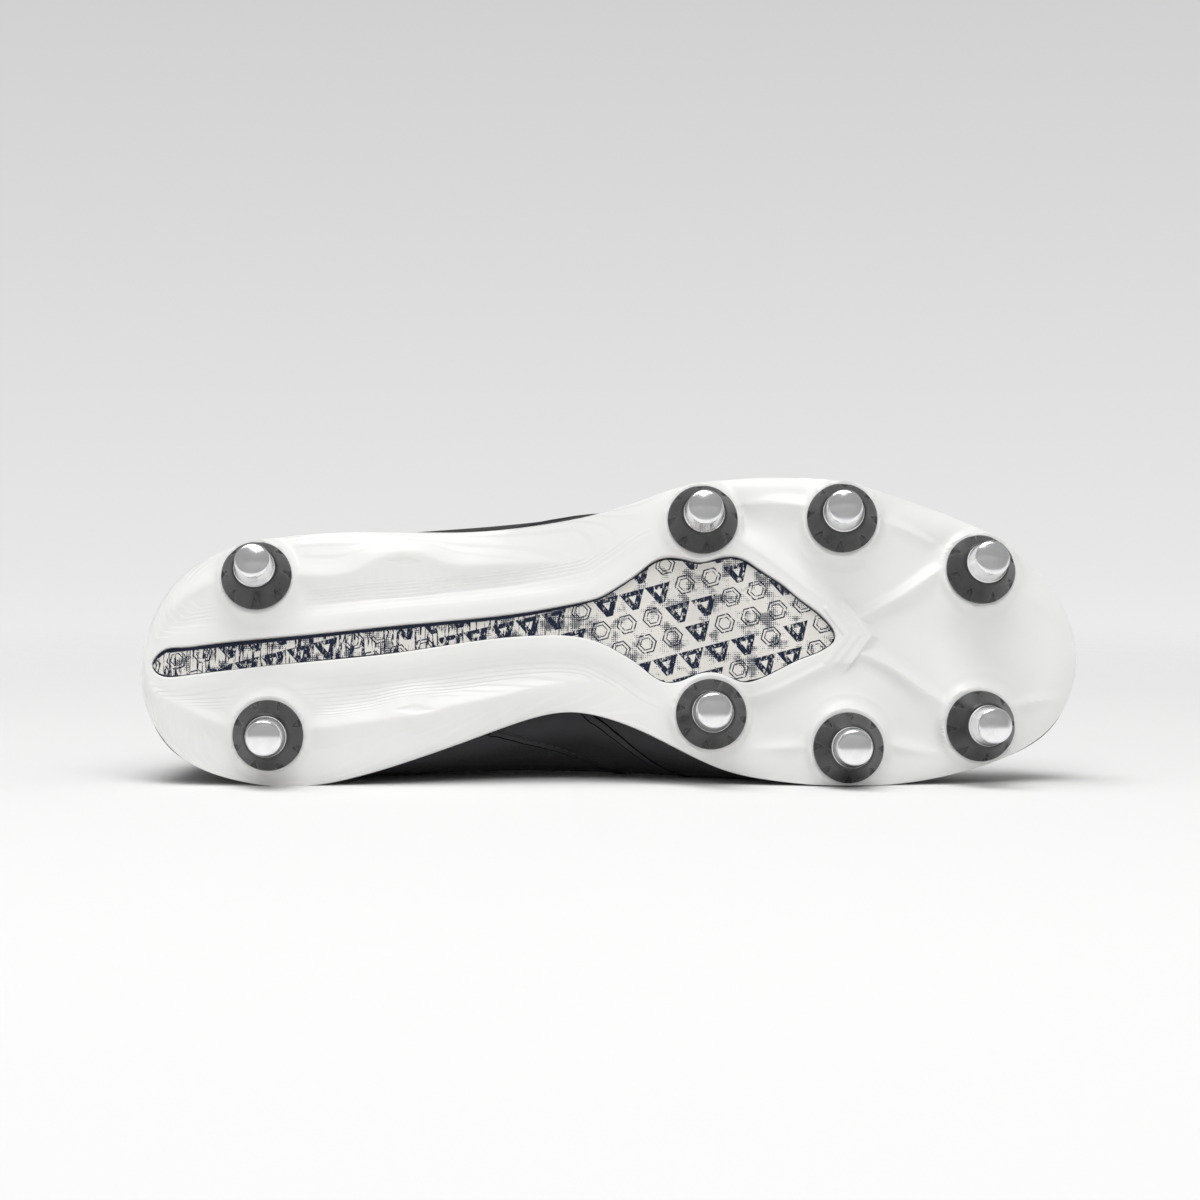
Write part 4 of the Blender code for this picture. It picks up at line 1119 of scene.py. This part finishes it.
def last_point(x, y):
    """Point of the closed last over a plan position between heel and toe."""
    x, y = np.broadcast_arrays(np.asarray(x, float), np.asarray(y, float))
    off = y - axis_y(x)
    girth = np.where(off > 0, np.interp(x, STATIONS, GIRTH_IN), np.interp(x, STATIONS, GIRTH_OUT))
    across, upwards = section_powers(x)
    angle = np.arccos(np.clip(np.abs(off) / girth, 0, 1) ** (1 / across))
    low = girth_height(x)
    return np.stack([x, y, low + (crown(x) - low) * np.sin(angle) ** upwards], axis=-1)


def surface(x, y, lift):
    """Point over or under the last's surface."""
    along = last_point(np.add(x, 1), y) - last_point(np.subtract(x, 1), y)
    across = last_point(x, np.add(y, 1)) - last_point(x, np.subtract(y, 1))
    return last_point(x, y) + unit(np.cross(along, across)) * np.asarray(lift, float)[..., None]


def eyelet_places():
    """Plan positions of the eyelets: (inner, outer) pairs from the top of the lacing to its front."""
    pairs = []
    for x in np.linspace(EYELET_FIRST, EYELET_LAST, EYELET_ROWS):
        out = float(throat_gap(x)) + EYELET_INSET
        pairs.append([(float(x), float(axis_y(x)) + side * out) for side in (1, -1)])
    return pairs


def eyelet_drill(reach=5.0):
    """The holes to punch, as one mesh."""
    bm = bmesh.new()
    for pair in eyelet_places():
        for x, y in pair:
            way = Vector(placed(surface(x, y, reach)) - placed(surface(x, y, -reach)))
            turn = Vector((0, 0, 1)).rotation_difference(way).to_matrix().to_4x4()
            bmesh.ops.create_cone(bm, cap_ends=True, segments=24, radius1=EYELET_RADIUS * MM,
                                  radius2=EYELET_RADIUS * MM, depth=way.length,
                                  matrix=Matrix.Translation(placed(surface(x, y, 0.0))) @ turn)
    return drawn("drill", bm)


def creased(sheet):
    """The sheet with soft troughs across the vamp, each between two low ridges."""
    x, y, z = np.moveaxis(sheet, -1, 0)
    aside = np.abs(y - axis_y(x))
    depth = np.zeros_like(x)
    for start, sweep, half, deep in CREASES:
        off = (x - start + sweep * aside) / half
        ridges = np.exp(-((np.abs(off) - RIDGE_PLACE) / RIDGE_WIDTH) ** 2)
        depth += deep * (np.exp(-off ** 2) - RIDGE_SHARE * ridges)
    sheet[..., 2] -= depth * ease(*CREASE_HEIGHTS, z) * ease(*CREASE_STARTS, x)
    return sheet


def upper_chart(sheet):
    """Way round the sheet above its widest line and way up it, in millimetres."""
    round_way = run_lengths(sheet[:, ARCH_ROWS + 2])
    up = np.cumsum(np.linalg.norm(np.diff(sheet, axis=1, prepend=sheet[:, :1]), axis=2), axis=1)
    return np.dstack([np.repeat(round_way[:, None], sheet.shape[1], axis=1), up])


def wall_points(sheet, side, x, z):
    """Points of the upper's outer face at a station and a height, on its inner (1) or outer (-1) side."""
    heel_turn = UPPER_TURNS[1]
    columns = sheet[:UPPER_STEPS + 1] if side > 0 else sheet[-UPPER_STEPS - heel_turn:1 - heel_turn][::-1]
    place = np.clip((x - AXIS_HEEL) / (AXIS_TOE - AXIS_HEEL) * UPPER_STEPS, 0, UPPER_STEPS - 1e-6)
    low = place.astype(int)
    y = np.array([[np.interp(height, columns[i, 1:, 2], columns[i, 1:, 1]) for i in (first, first + 1)]
                  for first, height in zip(low, z)])
    return np.column_stack([x, y[:, 0] + (place - low) * (y[:, 1] - y[:, 0]), z])


def line_frames(line, beside):
    """(unit way, unit way across, unit normal) along a line on the upper; beside are points to one side."""
    way = unit(np.gradient(line, axis=0))
    normal = unit(np.cross(beside - line, way))
    x = np.clip(line[:, 0], AXIS_HEEL, AXIS_TOE)
    middle = np.column_stack([x, axis_y(x), np.full(len(x), LAST_MIDDLE)])
    normal *= np.where(np.sum(normal * (line - middle), axis=1, keepdims=True) < 0, -1, 1)
    across = np.cross(normal, way)
    return way, across * np.where(across[:, :1] < 0, -1, 1), normal


def seam_line(sheet, side, table, aside=0.0):
    """A seam's points and frames, shifted towards the toe by aside."""
    height, x = open_line(table, SEAM_STEPS).T
    line = wall_points(sheet, side, x + aside, height)
    return line, line_frames(line, wall_points(sheet, side, x + aside + 1, height))


def edge_line(sheet, inset):
    """Points and frames of a line below the upper's top edge, round the heel from lacing to lacing."""
    open_top = np.flatnonzero(sheet[:, -1, 0] < THROAT_FRONT - 3)
    gap = np.flatnonzero(np.diff(open_top) > 1)[0] + 1
    columns = sheet[np.concatenate([open_top[gap:], open_top[:gap]]), ::-1]
    line, beside = (
        np.array([[np.interp(below, run_lengths(column), column[:, axis]) for axis in range(3)]
                  for column in columns]) for below in (inset, inset + 1))
    return line, line_frames(line, beside)


def band_mesh(line, frames, profile):
    """Points and faces of a profile swept along a line on the upper."""
    _, across, normal = frames
    rings = np.stack([line + across * a + normal * h for a, h in profile], axis=1)
    return rings.reshape(-1, 3), tube_faces(len(line), len(profile))


def stitch_mesh(line, frames):
    """Points and faces of stitches at an even pitch along a line on the upper."""
    step = run_lengths(line)
    spots = np.arange(STITCH_PITCH, step[-1] - STITCH_PITCH, STITCH_PITCH)
    centre, *axes = (np.stack([np.interp(spots, step, part[:, axis]) for axis in range(3)], axis=1)
                     for part in (line, *frames))
    template = np.vstack([ring_points(width, along, STITCH_SIDES) for along, width in STITCH_RINGS])
    template = template[:, [2, 0, 1]] * STITCH
    faces = tube_faces(len(STITCH_RINGS), STITCH_SIDES)
    return joined([(points, faces) for points in centre[:, None] + template @ np.stack(axes, axis=1)])


def build_seams(sheet, leather, thread):
    """Straps and beads over the upper's side seams, near-black strips of painted shade beside them, and the
    rows of stitches.
    """
    bands, shade_strips, stitches = [], [], []
    for side in (1, -1):
        for table, raised, shade_profile in ((STRAP_SEAM, STRAP, STRAP_SHADE), (QUARTER_SEAM, BEAD, BEAD_SHADE)):
            line, frames = seam_line(sheet, side, table)
            bands.append(band_mesh(line, frames, raised))
            shade_strips.append(band_mesh(line, frames, shade_profile))
        stitches.append(stitch_mesh(*seam_line(sheet, side, QUARTER_SEAM, QUARTER_ROW)))
    stitches += [stitch_mesh(*edge_line(sheet, inset)) for inset in EDGE_ROWS]
    # Painted shade: near-black, matte and without specular, for the strips beside the seams.
    dark = Shader("seam_painted_shade", Base_Color=(0.004, 0.004, 0.0045), Roughness=1.0, Specular_IOR_Level=0.0)
    for name, meshes, material in (("seam_bands", bands, leather), ("seam_shade_strips", shade_strips, dark.material),
                                   ("seam_stitches", stitches, thread)):
        points, faces = joined(meshes)
        # The chart's second column, height less SEAM_FOOT, places the leather's painted light on the seam
        # bands.
        chart = np.column_stack([points[:, 0], points[:, 2] - SEAM_FOOT])
        piece(name, laid(points), faces, material, slot="black_upper", chart=chart)


def collar_padding(obj):
    """Share of the collar's padding at each point of the upper: full at its edge, none below and in front."""
    x, up, over = np.array([vertex.co - Vector(OFFSET) for vertex in obj.data.vertices]).T / MM
    height = up * ROLL_COS - over * ROLL_SIN
    pad = np.clip(1 - (collar_height(x) - height) / COLLAR_PAD_DEPTH, 0, 1)
    return np.minimum(pad, np.clip((COLLAR_PAD_END - x) / COLLAR_PAD_FADE, 0, 1))


def build_upper(leather, lining, thread):
    """The upper as one sheet over the last, thickened inwards and smoothed, with eyelets punched."""
    fan = Fan(axis_y, AXIS_HEEL, AXIS_TOE, UPPER_STEPS, *UPPER_TURNS)
    shares = 1 - (1 - np.linspace(0, 1, CROWN_ROWS)) ** CROWN_CROWD
    sheet = laid(creased(upper_sheet(fan, ARCH_ROWS, shares)))
    chart = upper_chart(sheet)
    build_seams(sheet, leather, thread)
    # The vamp's columns meet on the crown line: their top points are made the same, so that they merge
    shut = fan.start[:, 0] > THROAT_FRONT
    for key in np.unique(np.round(fan.start[shut, 0], 5)):
        same = shut & (np.round(fan.start[:, 0], 5) == key)
        sheet[same, -1] = sheet[same, -1].mean(axis=0)
    faces = grid_faces(*sheet.shape[:2], wrap_rows=True)
    obj = piece("boot_upper", sheet, faces, leather, ["upper"], "black_upper", chart=chart)
    obj.data.materials.append(lining)
    group = obj.vertex_groups.new(name="collar_pad")
    for i, weight in enumerate(collar_padding(obj)):
        group.add([i], float(weight), "REPLACE")
    shell = obj.modifiers.new("wall", "SOLIDIFY")
    shell.thickness = COLLAR_WALL * MM
    shell.offset = -1
    shell.use_even_offset = True
    shell.vertex_group = group.name
    shell.thickness_vertex_group = UPPER_WALL / COLLAR_WALL
    shell.material_offset = 1
    shell.material_offset_rim = 0
    smoothed(obj)
    drill = eyelet_drill()
    cut = obj.modifiers.new("eyelets", "BOOLEAN")
    cut.operation = "DIFFERENCE"
    cut.object = drill
    cut.solver = "EXACT"
    applied(obj)
    bpy.data.objects.remove(drill, do_unlink=True)


def build_tongue(lining):
    """The padded tongue: a sheet under the lacing gap, swollen between its sewn edges."""
    half_width, sweep = (spline(TONGUE[:, 0], TONGUE[:, column]) for column in (1, 2))
    along = np.linspace(0, 1, TONGUE_ROWS)
    station = TONGUE[0, 0] + (TONGUE[-1, 0] - TONGUE[0, 0]) * along ** TONGUE_CROWD
    share = np.linspace(1, -1, TONGUE_COLUMNS)
    x = station[:, None] - sweep(station)[:, None] * share ** 2
    y = axis_y(x) + share * half_width(station)[:, None]
    depth = np.full(x.shape, UPPER_WALL + 2 * GAP)
    edge = np.minimum(1 - np.abs(share)[None], (TONGUE_TOP + along)[:, None])
    thick = TONGUE_WALL * (TONGUE_SEWN + (1 - TONGUE_SEWN) * ease(0.0, TONGUE_SWELL, edge))
    points = np.stack([surface(x, y, -depth), surface(x, y, -depth - thick)])
    half = x.size
    faces = grid_faces(*x.shape)
    faces += [tuple(i + half for i in face[::-1]) for face in grid_faces(*x.shape)]
    index = np.arange(half).reshape(x.shape)
    border = np.concatenate([index[0], index[1:, -1], index[-1, -2::-1], index[-2:0:-1, 0]])
    faces += [(a, b, b + half, a + half) for a, b in zip(border.tolist(), np.roll(border, -1).tolist())]
    chart = np.tile(np.column_stack([y.ravel(), x.ravel()]), (2, 1))
    obj = piece("tongue_pad", points, faces, lining, ["tongue"], "black_lining", chart=chart)
    smoothed(obj)
    applied(obj)


def build_insole(lining):
    """The sock: a thin foam sheet with its edge rolled over."""
    fan = Fan(axis_y, AXIS_HEEL, AXIS_TOE, *SOCK_FAN)
    edge = fan.seat(fan.reach(plate_edge))[0] - UPPER_WALL - 3 * GAP

    def ring(share, thickness):
        plan = fan.at(edge * share)
        return np.column_stack([plan, rise(plan[:, 0]) + PLATE + GAP + INSOLE * thickness])

    over = np.stack([ring(*row) for row in SOCK_TOP], axis=1)
    under = np.stack([over[:, 0], ring(1, 0), ring(0.5, 0), ring(0, 0)], axis=1)
    points, faces = joined([(part.reshape(-1, 3), grid_faces(*part.shape[:2], wrap_rows=True))
                            for part in (over, under)])
    piece("sock_liner", points, faces, lining, ["insole"], "black_lining", chart=points[:, :2])


def lace_run(start, end, over):
    """Rings of a flat lace between two eyelets: down into them at its ends, over its pair in the middle."""
    start, end = np.array(start), np.array(end)
    length = np.linalg.norm(end - start)
    way = (end - start) / length
    share = 0.5 - 0.5 * np.cos(np.linspace(0, math.pi, LACE_STEPS))
    to_hole = np.minimum(share, 1 - share) * length
    wide = LACE_HALF_WIDTH * (0.5 + 0.5 * ease(*LACE_PINCH, to_hole))
    lift = LACE_LIFT + 0.5 * LACE_WALL - LACE_DIVE * (1 - ease(0.0, LACE_DIVE_WITHIN, to_hole))
    hump = np.exp(-((share - 0.5) * length / LACE_CROSSING) ** 2)
    lift = lift + over * (LACE_WALL + LACE_CROSSING_GAP) * hump
    centre = start + (end - start) * share[:, None]
    side = np.array([-way[1], way[0]])
    rings, charts = [], []
    for across, up in LACE_SECTION:
        spot = centre + side * (wide * across)[:, None]
        rings.append(surface(spot[:, 0], spot[:, 1], lift + up * 0.5 * LACE_WALL))
        charts.append(np.column_stack([share * length, np.full(len(share), across * LACE_HALF_WIDTH)]))
    return np.stack(rings, axis=1), np.stack(charts, axis=1)


def build_lace(weave):
    """A bar at the front eyelets and a crossing between each two rows; the ends go into the top eyelets."""
    pairs = eyelet_places()
    runs = [lace_run(*pairs[-1], 0)]
    for upper_pair, lower_pair in zip(pairs, pairs[1:]):
        runs += [lace_run(upper_pair[side], lower_pair[1 - side], side) for side in (0, 1)]
    points, faces = joined([(rings.reshape(-1, 3), tube_faces(*rings.shape[:2])) for rings, _ in runs])
    chart = np.concatenate([chart for _, chart in runs])
    piece("flat_lace", points, faces, weave, ["lace"], "black_lace", chart=chart)


# The stage, in metres
CAMERA_AIM = Vector((-0.0033, -0.042, 0.0576))
CAMERA_DISTANCE = 1.2
CAMERA_HEIGHT = math.radians(2.3)
FRAME_WIDTH = 0.3753
SENSOR = 36.0
FLOOR_RADIUS = 1.6
FLOOR_FADE = (0.25, 1.1)
CARD_Y = -1.5
CARD_HALF_WIDTH = 2.5
CARD_HEIGHTS = (0.05, 0.95)

# Lamps: place, aim, size, watts, whether reflections show it
LAMPS = {
    "top_soft": ((-0.3, -0.3, 2.2), (0, -0.04, 0.05), (2.3, 1.1), 29.5, True),
    "front_fill": ((0.2, -1.5, 1.6), (0.02, -0.05, 0.05), (1.6, 0.7), 13.5, False)}

# Brightness of the studio round the boot: sine of the height over the horizon, level
WORLD_HEIGHTS = [(-0.2, 0.93), (-0.06, 0.86), (-0.03, 0.80), (0.0, 0.765), (0.053, 0.705), (0.11, 0.645),
                 (0.3, 0.36), (1.0, 0.36)]


def aim(obj, place, target):
    obj.location = place
    obj.rotation_euler = (Vector(target) - Vector(place)).to_track_quat("-Z", "Y").to_euler()


def build_camera():
    data = bpy.data.cameras.new("camera")
    data.sensor_width = SENSOR
    data.lens = SENSOR * CAMERA_DISTANCE / FRAME_WIDTH
    obj = linked("camera", data)
    away = Vector((0, -math.cos(CAMERA_HEIGHT), math.sin(CAMERA_HEIGHT)))
    aim(obj, CAMERA_AIM + away * CAMERA_DISTANCE, CAMERA_AIM)
    bpy.context.scene.camera = obj


def build_world():
    """Pale studio: near white below and at the horizon, greyer overhead."""
    world = bpy.data.worlds.new("studio")
    bpy.context.scene.world = world
    world.use_nodes = True
    tree = world.node_tree
    spot, parts, lift, ramp = (tree.nodes.new("ShaderNode" + kind)
                               for kind in ("TexCoord", "SeparateXYZ", "MapRange", "ValToRGB"))
    bottom, top = WORLD_HEIGHTS[0][0], WORLD_HEIGHTS[-1][0]
    lift.inputs["From Min"].default_value = bottom
    lift.inputs["From Max"].default_value = top
    stops = ramp.color_ramp.elements
    stops.remove(stops[1])
    for i, (height, level) in enumerate(WORLD_HEIGHTS):
        place = (height - bottom) / (top - bottom)
        stop = stops[0] if i == 0 else stops.new(place)
        stop.position = place
        stop.color = (level, level, level, 1)
    background = tree.nodes["Background"]
    background.inputs["Strength"].default_value = 1.0
    tree.links.new(spot.outputs["Generated"], parts.inputs[0])
    tree.links.new(parts.outputs[2], lift.inputs["Value"])
    tree.links.new(lift.outputs[0], ramp.inputs[0])
    tree.links.new(ramp.outputs[0], background.inputs["Color"])


def build_floor():
    """A round pale floor that thins out into the background at its rim."""
    bm = bmesh.new()
    bmesh.ops.create_circle(bm, cap_ends=True, segments=96, radius=FLOOR_RADIUS)
    obj = drawn("floor", bm)
    s = Shader("pale_floor", Base_Color=(0.9, 0.9, 0.895), Roughness=0.9)
    s.set(Alpha=s.vector("LENGTH", s.add("TexCoord", {}, "Object")).span(*FLOOR_FADE, 1.0, 0.0))
    obj.data.materials.append(s.material)


def build_lamps():
    for name, (place, target, size, watts, mirrored) in LAMPS.items():
        data = bpy.data.lights.new(name, "AREA")
        data.shape = "RECTANGLE"
        data.size, data.size_y = size
        data.energy = watts
        obj = linked(name, data)
        aim(obj, place, target)
        obj.visible_glossy = mirrored


def build_card():
    """A dark card behind the camera dims the light and the reflections from there."""
    low, high = CARD_HEIGHTS
    corners = [(-CARD_HALF_WIDTH, CARD_Y, low), (CARD_HALF_WIDTH, CARD_Y, low),
               (CARD_HALF_WIDTH, CARD_Y, high), (-CARD_HALF_WIDTH, CARD_Y, high)]
    mesh = bpy.data.meshes.new("dark_card")
    mesh.from_pydata(corners, [], [(0, 1, 2, 3)])
    mesh.materials.append(Shader("dark_paper", Base_Color=(0.45, 0.45, 0.45), Roughness=1.0).material)
    obj = linked("dark_card", mesh)
    obj.visible_camera = obj.visible_shadow = False


build_camera()
build_world()
build_floor()
build_lamps()
build_card()
bpy.context.scene.view_settings.view_transform = "Standard"
build_plate(plate_material())
build_window(window_material())
build_studs(nylon_material(), aluminium_material())
build_upper(leather_material(), knit_material("black_knit", (0.022, 0.022, 0.024), 1.6), thread_material())
build_tongue(knit_material("tongue_knit", (0.02, 0.02, 0.022), 2.2))
build_insole(knit_material("sock_knit", (0.03, 0.03, 0.032), 1.4))
build_lace(lace_material())
